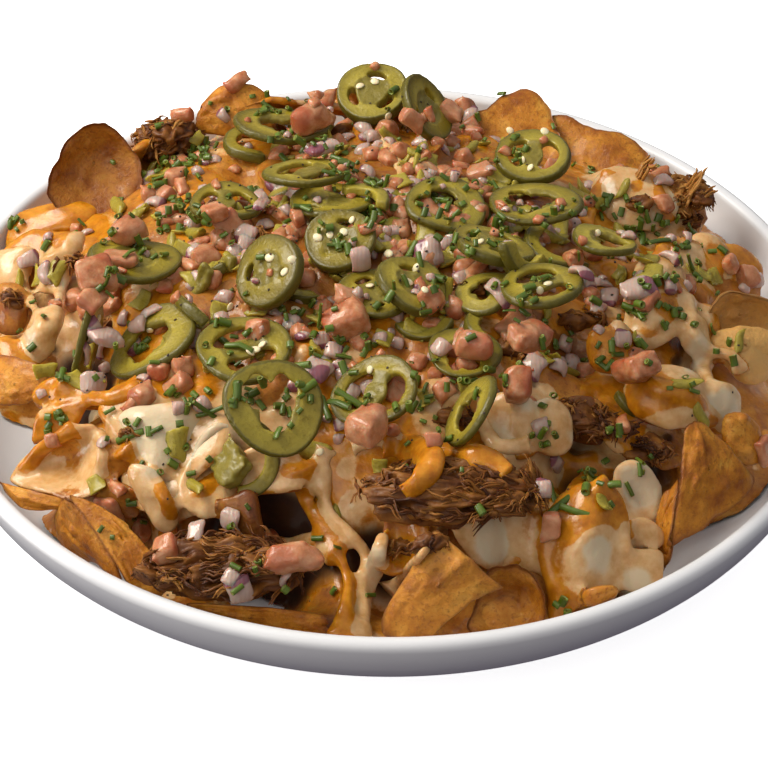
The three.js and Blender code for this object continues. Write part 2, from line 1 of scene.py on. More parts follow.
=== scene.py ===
# %% [markdown]
# # Loaded nachos in a shallow bowl
# A white bowl holds a heap of fried corn chips. Two warm cheese sauces run over them, and pulled
# pork, pickled jalapeno slices, diced tomato, red onion and cut chives lie on top. We model each
# kind of food as its own piece, over a fixed frame of simple solids that gives every place and size.

# %% The fixed frame
import itertools
import bpy
import numpy as np
from mathutils import Matrix, Vector
from mathutils.bvhtree import BVHTree


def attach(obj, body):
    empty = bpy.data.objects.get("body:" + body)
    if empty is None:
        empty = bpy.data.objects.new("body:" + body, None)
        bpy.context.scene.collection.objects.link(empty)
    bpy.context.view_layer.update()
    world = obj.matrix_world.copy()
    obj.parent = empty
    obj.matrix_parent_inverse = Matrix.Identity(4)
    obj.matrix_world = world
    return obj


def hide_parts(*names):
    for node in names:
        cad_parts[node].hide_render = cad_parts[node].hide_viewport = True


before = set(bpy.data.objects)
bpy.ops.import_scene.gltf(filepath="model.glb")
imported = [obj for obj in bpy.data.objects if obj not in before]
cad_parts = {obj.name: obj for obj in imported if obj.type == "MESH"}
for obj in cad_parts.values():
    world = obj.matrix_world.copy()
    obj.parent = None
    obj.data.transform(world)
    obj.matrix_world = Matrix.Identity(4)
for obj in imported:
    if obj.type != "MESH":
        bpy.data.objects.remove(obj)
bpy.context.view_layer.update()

# %% [markdown]
# ## Working in millimetres
# Food is easier to think of in millimetres, so every shape is made as a list of points in
# millimetres and only turned into metres when it becomes a Blender mesh. Each point can carry
# marks, such as how dark it is fried, that a material reads later. Blender's own sculpting could
# do the same work, but arrays of points repeat exactly and can be changed by one number.

# %% Points, faces and marks
MM = 0.001


def around(count):
    """Evenly spaced angles, once round."""
    return np.arange(count) / count * 2 * np.pi


def on_circle(angle):
    """Points at these angles on a circle of radius 1."""
    return np.stack([np.cos(angle), np.sin(angle), 0 * angle], 1)


def ball(turns, rises):
    """Points of a ball of radius 1, in rings from its bottom to its top."""
    turn, rise = np.meshgrid(around(turns), np.linspace(-1.57, 1.57, rises))
    wide = np.cos(rise)
    return np.stack([wide * np.cos(turn), wide * np.sin(turn), np.sin(rise)], -1).reshape(-1, 3)


def ring_faces(rows, sides, start=0):
    """Triangles between `rows` rings of `sides` points each."""
    row, side = np.meshgrid(np.arange(rows - 1), np.arange(sides), indexing="ij")
    a = start + row * sides + side
    b = start + row * sides + (side + 1) % sides
    quads = np.stack([a, b, b + sides, a + sides], -1).reshape(-1, 4)
    return np.concatenate([quads[:, [0, 1, 2]], quads[:, [0, 2, 3]]])


def cap(start, sides, flip=False):
    """Triangles that close one ring."""
    fan = np.array([[start, start + i, start + i + 1] for i in range(1, sides - 1)])
    return fan[:, ::-1] if flip else fan


def slab_faces(rows, sides):
    """Triangles of a round sheet: its front, its back and the edge that joins them."""
    front = ring_faces(rows, sides)
    count = rows * sides
    side = np.arange(sides) + count - sides
    ahead = np.roll(side, -1)
    edge = np.stack([side, ahead, count + ahead, count + side], 1)
    return np.concatenate([front, front[:, ::-1] + count, edge[:, [0, 2, 1]], edge[:, [0, 3, 2]],
                           cap(0, sides), cap(count, sides, True)])


def joined(parts):
    """Many small bodies as one: (points, faces, marks) each."""
    points, faces, marks, count = [], [], {}, 0
    for part_points, part_faces, part_marks in parts:
        points.append(part_points)
        faces.append(part_faces + count)
        count += len(part_points)
        for key, value in part_marks.items():
            marks.setdefault(key, []).append(np.broadcast_to(value, len(part_points)))
    marks = {key: np.concatenate(values) for key, values in marks.items()}
    return np.concatenate(points), np.concatenate(faces), marks


print("a sheet of 3 rings of 6 points has", len(slab_faces(3, 6)), "triangles")

# %% From points to a piece of the dish
def mesh_of(name, points, faces, marks=None):
    mesh = bpy.data.meshes.new(name)
    mesh.from_pydata((np.asarray(points) * MM).tolist(), [], np.asarray(faces).tolist())
    for key, value in (marks or {}).items():
        mark = mesh.attributes.new(key, "FLOAT", "POINT")
        mark.data.foreach_set("value", np.array(np.broadcast_to(value, len(points)), np.float32))
    mesh.shade_smooth()
    return mesh


def serve(name, body, finish, slot, *nodes):
    """Puts a finished body in the dish, in place of the frame's solids."""
    piece = bpy.data.objects.new(name, mesh_of(name, *body))
    bpy.context.scene.collection.objects.link(piece)
    piece.data.materials.append(finish)
    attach(piece, "root")
    if nodes:
        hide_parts(*nodes)
    print(name, "has", len(body[0]), "points")


def corners_of(name):
    """The corners of one of the frame's solids."""
    return np.array([v.co[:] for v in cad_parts[name].data.vertices]) / MM


print("the solid heap has", len(corners_of("nacho_pile")), "corners")

# %% [markdown]
# Nothing in food is even, so most shapes are pushed about by noise: a smooth random field with
# lumps of a chosen size. It is worked out from the place alone, so it never changes between runs.

# %% A smooth random field
def noise(points, size, seed=0.0):
    """From -1 to 1, with lumps `size` mm across."""
    place = np.asarray(points, float) / size + seed * 17.3
    cell = np.floor(place)
    part = place - cell
    part = part * part * (3 - 2 * part)
    total = np.zeros(len(place))
    for corner in itertools.product((0, 1), repeat=3):
        draw = np.sin((cell + corner) @ np.array([127.1, 311.7, 74.7])) * 43758.5453
        weight = np.prod(np.where(corner, part, 1 - part), axis=1)
        total += (draw - np.floor(draw)) * weight
    return total * 2 - 1


def smoothstep(low, high, value):
    share = np.clip((value - low) / (high - low), 0, 1)
    return share * share * (3 - 2 * share)


print("noise at three places:", noise([[0, 0, 0], [5, 0, 0], [20, 0, 0]], 10).round(2))

# %% [markdown]
# Melted, draped and knife-cut shapes are hard to build face by face. A voxel remesh turns any
# pile of overlapping closed bodies into one even skin, which can then be smoothed and pushed.
# Swollen and drawn in again, such a skin closes narrow gaps, as thick sauce does.

# %% One skin over many bodies
def relaxed(points, faces, rounds):
    """Evens out a skin: each point moves halfway to the middle of its neighbours."""
    beside = np.roll(faces, -1, axis=1).ravel()
    here = faces.ravel()
    count = np.bincount(here, minlength=len(points)) + np.bincount(beside, minlength=len(points))
    for _ in range(rounds):
        total = np.zeros_like(points)
        for axis in range(3):
            total[:, axis] += np.bincount(here, points[beside, axis], len(points))
            total[:, axis] += np.bincount(beside, points[here, axis], len(points))
        points = points / 2 + total / np.maximum(count, 1)[:, None] / 2
    return points


def normals_of(points, faces):
    across = np.cross(points[faces[:, 2]] - points[faces[:, 0]], points[faces[:, -1]] - points[faces[:, 1]])
    total = np.zeros_like(points)
    for corner in range(faces.shape[1]):
        for axis in range(3):
            total[:, axis] += np.bincount(faces[:, corner], across[:, axis], len(points))
    return total / np.maximum(np.linalg.norm(total, axis=1), 1e-9)[:, None]


def reskinned(mesh, voxel):
    """The voxel skin of a mesh whose units are millimetres."""
    holder = bpy.data.objects.new("holder", mesh)
    bpy.context.scene.collection.objects.link(holder)
    remesh = holder.modifiers.new("skin", "REMESH")
    remesh.mode = "VOXEL"
    remesh.voxel_size = voxel
    shown = holder.evaluated_get(bpy.context.evaluated_depsgraph_get()).to_mesh()
    points = np.zeros(len(shown.vertices) * 3)
    shown.vertices.foreach_get("co", points)
    faces = np.zeros(len(shown.loops), int)
    shown.loops.foreach_get("vertex_index", faces)
    bpy.data.objects.remove(holder)
    bpy.data.meshes.remove(mesh)
    return points.reshape(-1, 3), faces.reshape(-1, 4)


def plain_mesh(points, faces):
    mesh = bpy.data.meshes.new("draft")
    mesh.from_pydata(np.asarray(points).tolist(), [], np.asarray(faces).tolist())
    return mesh


def bridged(points, faces, voxels, swell, rounds, shrink):
    """A skin that is swollen and drawn in again, so that it bridges narrow gaps."""
    points, faces = reskinned(plain_mesh(points, faces), voxels[0])
    points = relaxed(points, faces, 1)
    points = points + normals_of(points, faces) * swell
    points, faces = reskinned(plain_mesh(points, faces), voxels[1])
    points = relaxed(points, faces, rounds)
    return points - normals_of(points, faces) * shrink, faces


def nearest_marks(points, body):
    """For a new skin, the marks of the body that it was drawn over."""
    old_points, old_faces, old_marks = body
    tree = BVHTree.FromPolygons(old_points.tolist(), old_faces.tolist())
    found = old_faces[[tree.find_nearest(Vector(point))[2] for point in points], 0]
    return {key: values[found] for key, values in old_marks.items()}


drop = reskinned(plain_mesh(ball(12, 7) * 5, ring_faces(7, 12)), 1)
print("a drop 10 mm across has", len(drop[1]), "faces in a 1 mm skin")

# %% [markdown]
# ## Camera
# The bowl is seen from the front, 39 degrees above the table, through a long lens from 70 cm.
# The camera comes first, because many toppings are laid where they are seen from there: a point
# of the 768 by 768 frame gives a line of sight, and the topping lands where that line meets food.

# %% Camera and lines of sight
FRAME_PIXELS = 768
LENS = 104.84
SENSOR = 36
AIM = np.array([0, -30.8, 44.4])
AWAY = 700.0
UP_ANGLE = np.radians(39.35)
ROLL = np.radians(1.026)

back = np.array([0, -np.cos(UP_ANGLE), np.sin(UP_ANGLE)])
level_up = np.array([0, np.sin(UP_ANGLE), np.cos(UP_ANGLE)])
right = np.array([1.0, 0, 0]) * np.cos(ROLL) + level_up * np.sin(ROLL)
up = np.cross(back, right)
eye = AIM + back * AWAY
focal = LENS / SENSOR * FRAME_PIXELS

camera = bpy.data.objects.new("camera", bpy.data.cameras.new("camera"))
bpy.context.scene.collection.objects.link(camera)
camera.data.lens = LENS
camera.data.sensor_width = SENSOR
stand = [[*axis, place * MM] for axis, place in zip(np.stack([right, up, back], 1), eye)]
camera.matrix_world = Matrix(stand + [[0, 0, 0, 1]])
bpy.context.scene.camera = camera


def sight(u, v):
    """The direction of the line of sight through a point of the frame."""
    line = (u - FRAME_PIXELS / 2) / focal * right - (v - FRAME_PIXELS / 2) / focal * up - back
    return line / np.linalg.norm(line)


def seen_at(points):
    """Where points show in the frame."""
    out = points - eye
    depth = -(out @ back)
    return np.stack([FRAME_PIXELS / 2 + focal * (out @ right) / depth,
                     FRAME_PIXELS / 2 - focal * (out @ up) / depth], 1)


print("camera at", np.round(eye), "mm, focal length", round(focal), "pixels")

# %% [markdown]
# ## Making materials
# A material is a small network of nodes. One function adds any node with its settings and links, and
# gives back the output that the next node takes. Most food is a base colour with others laid over
# it, each where something drives it: a mark of the mesh, or soft spots of a size in millimetres.
# Colours are written as they look on a screen and turned into linear light by one function.

# %% Colours and nodes
MIX = {"data_type": "RGBA", "out": 2}
SOFT = {"interpolation_type": "SMOOTHSTEP"}


def tint(code):
    """A screen colour such as #C48022 as linear light."""
    parts = [int(code[i:i + 2], 16) / 255 for i in (1, 3, 5)]
    return [p / 12.92 if p <= 0.04045 else ((p + 0.055) / 1.055) ** 2.4 for p in parts] + [1]


def add(finish, kind, inputs, out=0, stops=(), **settings):
    """Adds a node. inputs: socket -> value, colour code or another node's output."""
    made = finish.node_tree.nodes.new("ShaderNode" + kind)
    for key, value in settings.items():
        setattr(made, key, value)
    for key, value in inputs.items():
        if isinstance(value, bpy.types.NodeSocket):
            finish.node_tree.links.new(value, made.inputs[key])
        else:
            made.inputs[key].default_value = tint(value) if isinstance(value, str) else value
    for place, code in stops:
        made.color_ramp.elements.new(place).color = tint(code)
    if stops:
        made.color_ramp.elements.remove(made.color_ramp.elements[0])
        made.color_ramp.elements.remove(made.color_ramp.elements[-1])
    return made.outputs[out] if made.outputs else None


print("a screen grey of #808080 is", round(tint("#808080")[0], 3), "in linear light")

# %% Finishes
def new_finish(name, *marks):
    """An empty material, and the marks of the mesh that it reads."""
    finish = bpy.data.materials.new(name)
    finish.use_nodes = True
    finish.node_tree.nodes.clear()
    read = [add(finish, "Attribute", {}, "Fac", attribute_name=mark) for mark in marks]
    return (finish, *read) if marks else finish


def lumps(finish, size, detail=3, rough=0.55):
    """Soft random spots, `size` mm across."""
    place = add(finish, "TexCoord", {}, "Object")
    return add(finish, "TexNoise", {"Vector": place, "Scale": 1 / (size * MM), "Detail": detail,
                                    "Roughness": rough})


def layered(finish, colour, *layers):
    """Lays colours over a base. Each layer: driver, where it starts, where it is full, strength, colour."""
    for driver, start, full, strength, over in layers:
        share = add(finish, "MapRange", {0: driver, 1: start, 2: full, 4: strength}, **SOFT)
        colour = add(finish, "Mix", {0: share, 6: colour, 7: over}, **MIX)
    return colour


def close(finish, colour, rough, relief=None, relief_mm=0.3, **sockets):
    """The surface itself: colour, roughness, relief and the constant settings."""
    inputs = {"Base Color": colour, "Roughness": rough}
    inputs.update({key.replace("_", " "): value for key, value in sockets.items()})
    if relief is not None:
        deep = {"Height": relief, "Distance": relief_mm * MM, "Strength": 1.0}
        inputs["Normal"] = add(finish, "Bump", deep)
    add(finish, "OutputMaterial", {"Surface": add(finish, "BsdfPrincipled", inputs)})
    print(finish.name, "has", len(finish.node_tree.nodes), "nodes")


# %% [markdown]
# ## Table and light
# A plain pale table and soft light. A wide panel hangs over the back left of the bowl, as a window
# behind the cook would, so the near side of the bowl falls into a cool shade. The room is grey above
# and darker near the floor. The table glows faintly, as a light table does, and throws no light
# back, so nothing brightens the underside of the bowl.

# %% Table
TABLE_WIDE = 16000
table_finish = new_finish("matt_table_paper")
paper = add(table_finish, "Mix", {0: lumps(table_finish, 40), 6: "#F4F4F5", 7: "#F7F7F7"}, **MIX)
close(table_finish, paper, 0.9, Emission_Color="#FFFFFF", Emission_Strength=0.8)
half = TABLE_WIDE / 2
table_corners = [[-half, -half, 0], [half, -half, 0], [half, half, 0], [-half, half, 0]]
table = bpy.data.objects.new("table", mesh_of("table", table_corners, [[0, 1, 2, 3]]))
bpy.context.scene.collection.objects.link(table)
table.data.materials.append(table_finish)
table.visible_diffuse = False
table.visible_glossy = False

# %% Light
def panel(name, place, size, power, colour="#FFFFFF"):
    """A soft square light that faces the middle of the heap."""
    lamp = bpy.data.objects.new(name, bpy.data.lights.new(name, "AREA"))
    lamp.data.size = size * MM
    lamp.data.energy = power
    lamp.data.color = tint(colour)[:3]
    lamp.location = Vector(place) * MM
    lamp.rotation_euler = (Vector((0, 0, 40)) - Vector(place)).to_track_quat("-Z", "Y").to_euler()
    bpy.context.scene.collection.objects.link(lamp)


panel("window_panel", (-560, 160, 680), 420, 8.2, "#FFF9EE")
panel("front_panel", (-380, -620, 600), 480, 1.6, "#FFF4E4")
panel("low_left_panel", (-820, -160, 70), 300, 2.2)
world = bpy.data.worlds.new("room")
bpy.context.scene.world = world
world.use_nodes = True
world.node_tree.nodes.clear()
height = add(world, "SeparateXYZ", {"Vector": add(world, "TexCoord", {}, "Generated")}, "Z")
share = add(world, "MapRange", {"Value": height, "From Min": -1.0})
room_light = add(world, "ValToRGB", {"Fac": share}, stops=[
    (0.46, "#6A6270"), (0.5, "#8E8A92"), (0.62, "#BBBABD"), (1.0, "#D2D2D4")])
room = add(world, "Background", {"Color": room_light, "Strength": 0.6})
add(world, "OutputWorld", {"Surface": room})
bpy.context.scene.view_settings.view_transform = "Standard"
print("three panels and a grey room")

# %% [markdown]
# ## The bowl
# A thrown or pressed porcelain bowl is a shape of revolution: a foot ring, a full curved wall and a
# thick rounded lip. We draw half of its section and turn it round the middle, with many points at
# the lip, where a coarse ring would show. A cylinder with a subdivision modifier would also do, but
# then the lip's radius would be harder to state.

# %% Section of the bowl
BOWL_ACROSS, BOWL_TALL, BOWL_WALL = 290, 45, 5.5
FOOT_ACROSS, FOOT_WIDE, FOOT_TALL, FLOOR_THICK = 152, 7, 6, 5
WALL_FULLNESS = 0.91
WALL_STEPS = 30
TURNS = 256


def wall_point(share, inset):
    """The wall is a full quarter of an ellipse, from the foot (0) up to the lip (1)."""
    angle = (1 - share) * np.pi / 2
    across = (BOWL_ACROSS - FOOT_ACROSS) / 2 - inset
    tall = BOWL_TALL - FOOT_TALL - inset
    return (FOOT_ACROSS / 2 + across * max(np.cos(angle), 0) ** WALL_FULLNESS,
            BOWL_TALL - tall * max(np.sin(angle), 0) ** WALL_FULLNESS)


lip = BOWL_WALL / 2
foot_edge = FOOT_ACROSS / 2
section = [(0.01, 2), (foot_edge - FOOT_WIDE - 2, 2), (foot_edge - FOOT_WIDE - 0.8, 1.2),
           (foot_edge - FOOT_WIDE, 0.2), (foot_edge - FOOT_WIDE + 0.8, 0), (foot_edge - 1.6, 0),
           (foot_edge - 0.8, 0.3), (foot_edge - 0.3, 1.5), (foot_edge - 0.3, 4)]
section += [wall_point(i / WALL_STEPS, 0) for i in range(WALL_STEPS - 2)]
for turn in np.radians(np.arange(0, 181, 15)):
    section.append((BOWL_ACROSS / 2 - lip + lip * np.cos(turn), BOWL_TALL - lip + lip * np.sin(turn)))
section += [wall_point(i / WALL_STEPS, BOWL_WALL) for i in range(WALL_STEPS - 3, 1, -1)]
section += [(foot_edge * 0.9, 4.4 + FLOOR_THICK), (foot_edge * 0.5, 2.6 + FLOOR_THICK),
            (0.01, 2 + FLOOR_THICK)]
section = np.array(section)
angles = around(TURNS)
bowl_points = np.stack([np.outer(section[:, 0], np.cos(angles)), np.outer(section[:, 0], np.sin(angles)),
                        np.repeat(section[:, 1:], TURNS, 1)], -1).reshape(-1, 3)
bowl_faces = ring_faces(len(section), TURNS)
print("the bowl's section has", len(section), "points")

# %% [markdown]
# Glazed porcelain is a white clay under a thin layer of glass. The eye gets a cool off-white, soft
# broad highlights and a faint unevenness where the glaze pooled. The IOR of the glaze is about 1.5.

# %% Glazed porcelain
porcelain = new_finish("glazed_porcelain")
pooled = lumps(porcelain, 30)
glaze = add(porcelain, "Mix", {0: pooled, 6: "#DDDEE2", 7: "#E4E5E8"}, **MIX)
close(porcelain, glaze, 0.42, relief=pooled, relief_mm=0.15, IOR=1.5, Coat_Weight=0.15, Coat_Roughness=0.2)
serve("bowl_glazed", (bowl_points, bowl_faces), porcelain, "porcelain", "bowl")

# %% [markdown]
# ## The heap
# The heap is a shallow dome with mounds and hollows, in the same places as in the frame. Its height
# at any place is one sum, so chips, sauce and strands can all be laid on it. Food may touch the
# bowl but not cut through it, so one function draws a body in where it would.

# %% Height of the heap
HEAP_ACROSS, HEAP_FOOT, HEAP_PEAK = 268, 38, 75
# Mounds and hollows: middle x, y, height gained or lost, spread.
SWELLS = np.array([
    (-64, 78, 8, 26), (-104, 26, 5, 22), (-5, 88, 4, 11), (34, 60, 4, 40), (88, -30, 5, 24),
    (60, -90, 5, 20), (-68, -72, 5, 18), (-114, -46, -40, 15), (96, -92, -34, 16), (-36, -98, -26, 12),
    (-74, -96, -20, 11), (4, -108, -14, 10), (58, -30, -12, 9), (55, -74, -12, 9), (-46, 52, -10, 10),
    (-94, -30, -12, 10)])


def dome_height(x, y):
    """The plain dome, without its mounds and hollows."""
    share = (x * x + y * y) / (HEAP_ACROSS / 2) ** 2
    return HEAP_FOOT + (HEAP_PEAK - HEAP_FOOT) * (1 - share)


def heap_height(x, y):
    total = dome_height(x, y)
    for at_x, at_y, rise, spread in SWELLS:
        total = total + rise * np.exp(-((x - at_x) ** 2 + (y - at_y) ** 2) / (2 * spread ** 2))
    return np.maximum(total, 1)


def wall_line(inset):
    """Distance and height of points up the bowl's inner wall."""
    return np.array([wall_point(i / 40, BOWL_WALL + inset) for i in range(41)]).T


def wall_height(reach):
    """How high the bowl's inner wall stands at a distance from its middle."""
    return np.interp(reach, *wall_line(0))


def in_bowl(body, gap=0.6):
    """Draws a body in where it would touch the wall of the bowl."""
    points, faces, marks = body
    reach = np.hypot(points[:, 0], points[:, 1])
    across, tall = wall_line(gap)
    keep = np.minimum(1, (np.interp(points[:, 2], tall, across - gap)) / np.maximum(reach, 1))
    return points * np.stack([keep, keep, np.ones(len(points))], 1), faces, marks


print("the heap is", round(heap_height(0.0, 0.0)), "mm tall at its middle")

# %% [markdown]
# ## Chips
# A corn chip is a thin rounded triangle that buckles in the hot oil: it cups, folds and blisters.
# We build it as a round grid of points whose outline is pulled to three corners, lift the grid by a
# smooth bend and a few blisters, and give it a front and a back 1.5 mm apart. A cloth simulation would
# give softer folds than a fried chip has.

# %% Shape of a chip
CORNER = 0.16


def turned(lean, toward, spin):
    """Lean over toward a compass angle after a spin about the chip's own middle."""
    side = (-np.sin(np.radians(toward)), np.cos(np.radians(toward)), 0)
    return np.array(Matrix.Rotation(np.radians(lean), 3, side) @ Matrix.Rotation(np.radians(spin), 3, "Z"))


def drawer(seed):
    """The same seeded draws as the frame's chips were bent by."""
    state = seed
    while True:
        state = (state + 0x6D2B79F5) & 0xFFFFFFFF
        t = ((state ^ (state >> 15)) * (1 | state)) & 0xFFFFFFFF
        t = ((t + (((t ^ (t >> 7)) * (61 | t)) & 0xFFFFFFFF)) ^ t) & 0xFFFFFFFF
        yield (t ^ (t >> 14)) / 4294967296


def rounded_square(angle, corner):
    """How far a square with rounded corners reaches at each angle."""
    return (np.abs(np.cos(angle)) ** corner + np.abs(np.sin(angle)) ** corner) ** (-1 / corner)


def quadratic(place):
    """Shares of three stops at -1, 0 and 1 for a smooth line through them."""
    return np.stack([place * (place - 1) / 2, 1 - place ** 2, place * (place + 1) / 2])


def chip(at, lean, toward, spin=0, across=40, bend=(4, -2), seen=None, seed=1, sides=64, rows=17,
         thick=1.5, blister=1.0, tone=0.0, square=7):
    """seen: three rows of three places, each frame u, frame v and height off the chip's own plane."""
    draw = drawer(seed * 977)
    phase = [next(draw) * 6 for _ in range(3)]
    angle = around(sides)
    share = np.linspace(0, 1, rows) ** 0.85
    share[0] = 0.01
    edge = np.repeat(share, sides)
    axes = turned(lean, toward, spin)
    facing = axes[:, 2]
    ragged = 0.012 * np.sin(11 * angle + phase[2] * 3) + 0.01 * np.sin(19 * angle + phase[0] * 5)
    if seen is None:
        outline = (0.9 + CORNER * np.cos(3 * angle) + 0.04 * np.sin(2 * angle + phase[0])
                   + 0.03 * np.sin(5 * angle + phase[1]) + ragged)
    else:
        outline = rounded_square(angle, square) * (1 + ragged)
    a = np.outer(share, outline * np.cos(angle)).ravel()
    b = np.outer(share, outline * np.sin(angle)).ravel()
    if seen is None:
        radius = across / 2
        lift = bend[0] * a * a + bend[1] * b * b + np.sin(3.1 * a + phase[2]) * np.cos(2.6 * b + phase[0])
        middle = np.array(at) + radius * (np.outer(a, axes[:, 0]) + np.outer(b, axes[:, 1]))
        middle = middle + np.outer(lift, facing)
    else:
        stops = []
        for u, v, rise in np.array(seen, float).reshape(9, 3):
            line = sight(u, v)
            stops.append(eye + line * ((np.array(at) + facing * rise - eye) @ facing) / (line @ facing))
        middle = np.einsum("in,jn,ijk->nk", quadratic(-b), quadratic(a), np.array(stops).reshape(3, 3, 3))
        radius = np.linalg.norm(middle - middle.mean(0), axis=1).max() * 0.8
    out = normals_of(middle, ring_faces(rows, sides))
    out *= np.sign(out @ facing)[:, None]
    flat = np.stack([a * radius, b * radius, 0 * a], 1)
    bubbles = np.clip(noise(flat, 5.5, seed) - 0.2, 0, 1) * 1.6 + 0.35 * noise(flat, 3, seed + 5)
    relief = (0.9 * noise(flat, 11, seed + 3) + blister * bubbles * (1 - edge ** 8)
              + 0.9 * edge ** 6 * noise(flat * 1.3, 8, seed + 9))
    middle = middle + out * relief[:, None]
    half = (thick / 2 * np.sqrt(np.clip(1.04 - edge ** 14, 0, 1)))[:, None]
    points = np.concatenate([middle + out * half, middle - out * half])
    marks = {"edge": np.tile(edge, 2), "blister": np.tile(np.clip(bubbles, 0, 1), 2), "tone": tone}
    return points, slab_faces(rows, sides), marks


print("a chip 40 mm across has", len(chip((0, 0, 60), 0, 0)[0]), "points")

# %% [markdown]
# Thirteen chips stand bare at the edge of the heap. A chip of which only a corner shows is a free
# rounded triangle. A large one is drawn by sight: nine places of the frame give its edges and its
# middle, and a lean gives the plane that it lies in. A folded chip is two such sheets.

# %% Places of the bare chips
BARE_CHIPS = {
    "chip_back_left": [
        dict(at=(-101, 60, 57), lean=52, toward=285, tone=0.5, square=3, seen=[
            70, 136, 0, 100, 123, 2, 130, 140, 0, 52, 168, -1, 94, 164, -6, 142, 172, 1, 40, 210, 0,
            90, 220, 1, 136, 216, 2])],
    "chip_back_hump": [
        dict(at=(-52, 90, 60), lean=48, toward=268, seen=[
            206, 96, 0, 236, 82, 2, 268, 92, 0, 198, 114, 1, 236, 110, 4, 274, 118, 1, 194, 134, 0,
            236, 136, 1, 276, 142, 0])],
    "chip_back_right": [
        dict(at=(44, 97, 52), lean=38, toward=262, spin=70, across=42, bend=(-5, 3), tone=0.1)],
    "chip_far_right": [
        dict(at=(70, 90, 48), lean=24, toward=245, spin=10, across=42, bend=(-4, 2), tone=0.1)],
    "chip_left": [
        dict(at=(-115, -36, 52), lean=44, toward=228, tone=-0.1, seen=[
            -8, 352, 0, 24, 360, 2, 52, 372, 0, -8, 380, 0, 16, 384, 3, 42, 390, 0, -8, 404, -2,
            8, 406, 0, 30, 403, -1])],
    "chip_left_rim": [
        dict(at=(-100, -84, 45), lean=16, toward=235, tone=0.1, seen=[
            -6, 480, 0, 32, 491, 2, 66, 499, 1, -4, 487, 0, 30, 499, 1, 64, 505, 0, -4, 495, -2,
            24, 508, -1, 60, 511, -2])],
    "chip_lower_left": [
        dict(at=(-74, -108, 42), lean=62, toward=238, square=9, seen=[
            66, 495, 6, 84, 500, 4, 104, 512, 2, 98, 536, 6, 122, 538, 3, 148, 548, 0, 130, 590, 5,
            150, 598, 2, 172, 590, 0]),
        # The fold's second sheet is its shaded side, made darker (tone 0.25) as painted shade.
        dict(at=(-74, -108, 42), lean=62, toward=238, square=9, tone=0.25, seen=[
            61, 503, -2, 64, 499, 2, 67, 495, 6, 58, 534, -6, 76, 536, 0, 98, 536, 6, 84, 558, -6,
            104, 570, 0, 128, 588, 5])],
    "chip_front_rim": [
        dict(at=(-32, -124, 37), lean=58, toward=270, tone=0.1, seen=[
            184, 602, 0, 250, 606, 2, 326, 614, 0, 190, 612, 0, 252, 616, 1, 328, 624, 0, 196, 622, -2,
            252, 634, -2, 330, 640, -2])],
    "chip_front": [
        dict(at=(14, -124, 46), lean=50, toward=262, tone=-0.2, square=9, seen=[
            437, 526, 5, 468, 558, 5, 508, 590, 3, 416, 560, 3, 440, 584, 5, 472, 602, 2, 376, 624, -1,
            398, 642, -2, 430, 640, -2])],
    "chip_front_inner": [
        dict(at=(40, -117, 42), lean=44, toward=272, tone=0.4, seen=[
            488, 568, 2, 514, 566, 2, 536, 580, 2, 478, 598, -4, 514, 600, -7, 546, 606, 2, 462, 634, -3,
            504, 636, -2, 542, 624, 0])],
    "chip_right_front": [
        dict(at=(98, -86, 49), lean=50, toward=302, square=9, seen=[
            683, 430, 0, 696, 422, 0, 712, 430, 0, 680, 474, 1, 708, 468, 2, 740, 462, 0, 668, 548, 0,
            706, 526, 0, 759, 484, -1]),
        dict(at=(98, -86, 49), lean=50, toward=302, square=9, tone=0.1, seen=[
            666, 490, -7, 674, 484, -3, 681, 476, 1, 656, 530, -8, 665, 525, -3, 674, 516, 1,
            661, 573, -6, 665, 570, -3, 669, 560, 0])],
    "chip_right_nub": [
        dict(at=(108, -54, 52), lean=45, toward=300, blister=1.5, seen=[
            726, 414, 0, 742, 412, 2, 760, 424, 0, 722, 434, 0, 742, 436, 4, 762, 442, 0, 730, 458, -1,
            746, 464, 0, 762, 462, -1])],
    # Both sheets of this chip are made paler (tone under 0) as painted light, because the heap shades them.
    "chip_right": [
        dict(at=(112, -14, 53), lean=36, toward=290, tone=-0.5, blister=1.2, square=9, seen=[
            722, 296, 6, 744, 294, 7, 776, 302, 6, 706, 310, 2, 738, 312, -2, 778, 318, 0, 698, 332, -2,
            732, 340, -5, 776, 336, -4]),
        dict(at=(112, -14, 53), lean=36, toward=290, tone=-0.8, blister=1.3, seen=[
            716, 330, 2, 742, 326, 4, 774, 330, 2, 712, 346, 2, 744, 346, 6, 778, 350, 3, 722, 362, 0,
            748, 368, 2, 774, 362, 0])],
}
print(len(BARE_CHIPS), "bare chips")

# %% [markdown]
# Fried corn dough is golden, darker at its rim and on top of each blister where the oil browned it.
# A film of oil makes it glossy in places. Blisters are 4 to 7 mm across. The same colours show where
# the sauce leaves a chip bare, so one function makes them for both materials.

# %% Fried corn chip
def fried_colour(finish, edge, blister, tone):
    """The colour of a fried chip, with its grain and its patches."""
    grain = lumps(finish, 1.3, 4, 0.65)
    patches = lumps(finish, 9, 4, 0.6)
    gold = add(finish, "ValToRGB", {"Fac": patches}, stops=[
        (0.3, "#8E4C10"), (0.43, "#AE6A16"), (0.56, "#C48022"), (0.72, "#D49A3C")])
    browned = add(finish, "Math", {0: edge, 1: 5.0}, operation="POWER")
    # A tone under 0 pales a chip and over 0 darkens it: real frying, and on some pieces painted light or
    # painted shade.
    fried = layered(finish, gold, (grain, 0.5, 0.68, 0.6, "#86480F"), (browned, 0.45, 1.0, 0.7, "#6B3512"),
                    (blister, 0.4, 1.0, 0.35, "#9A561E"), (tone, 0.0, -1.0, 0.75, "#DDB06A"),
                    (tone, 0.0, 1.0, 0.85, "#4E1F0B"))
    return fried, grain, patches


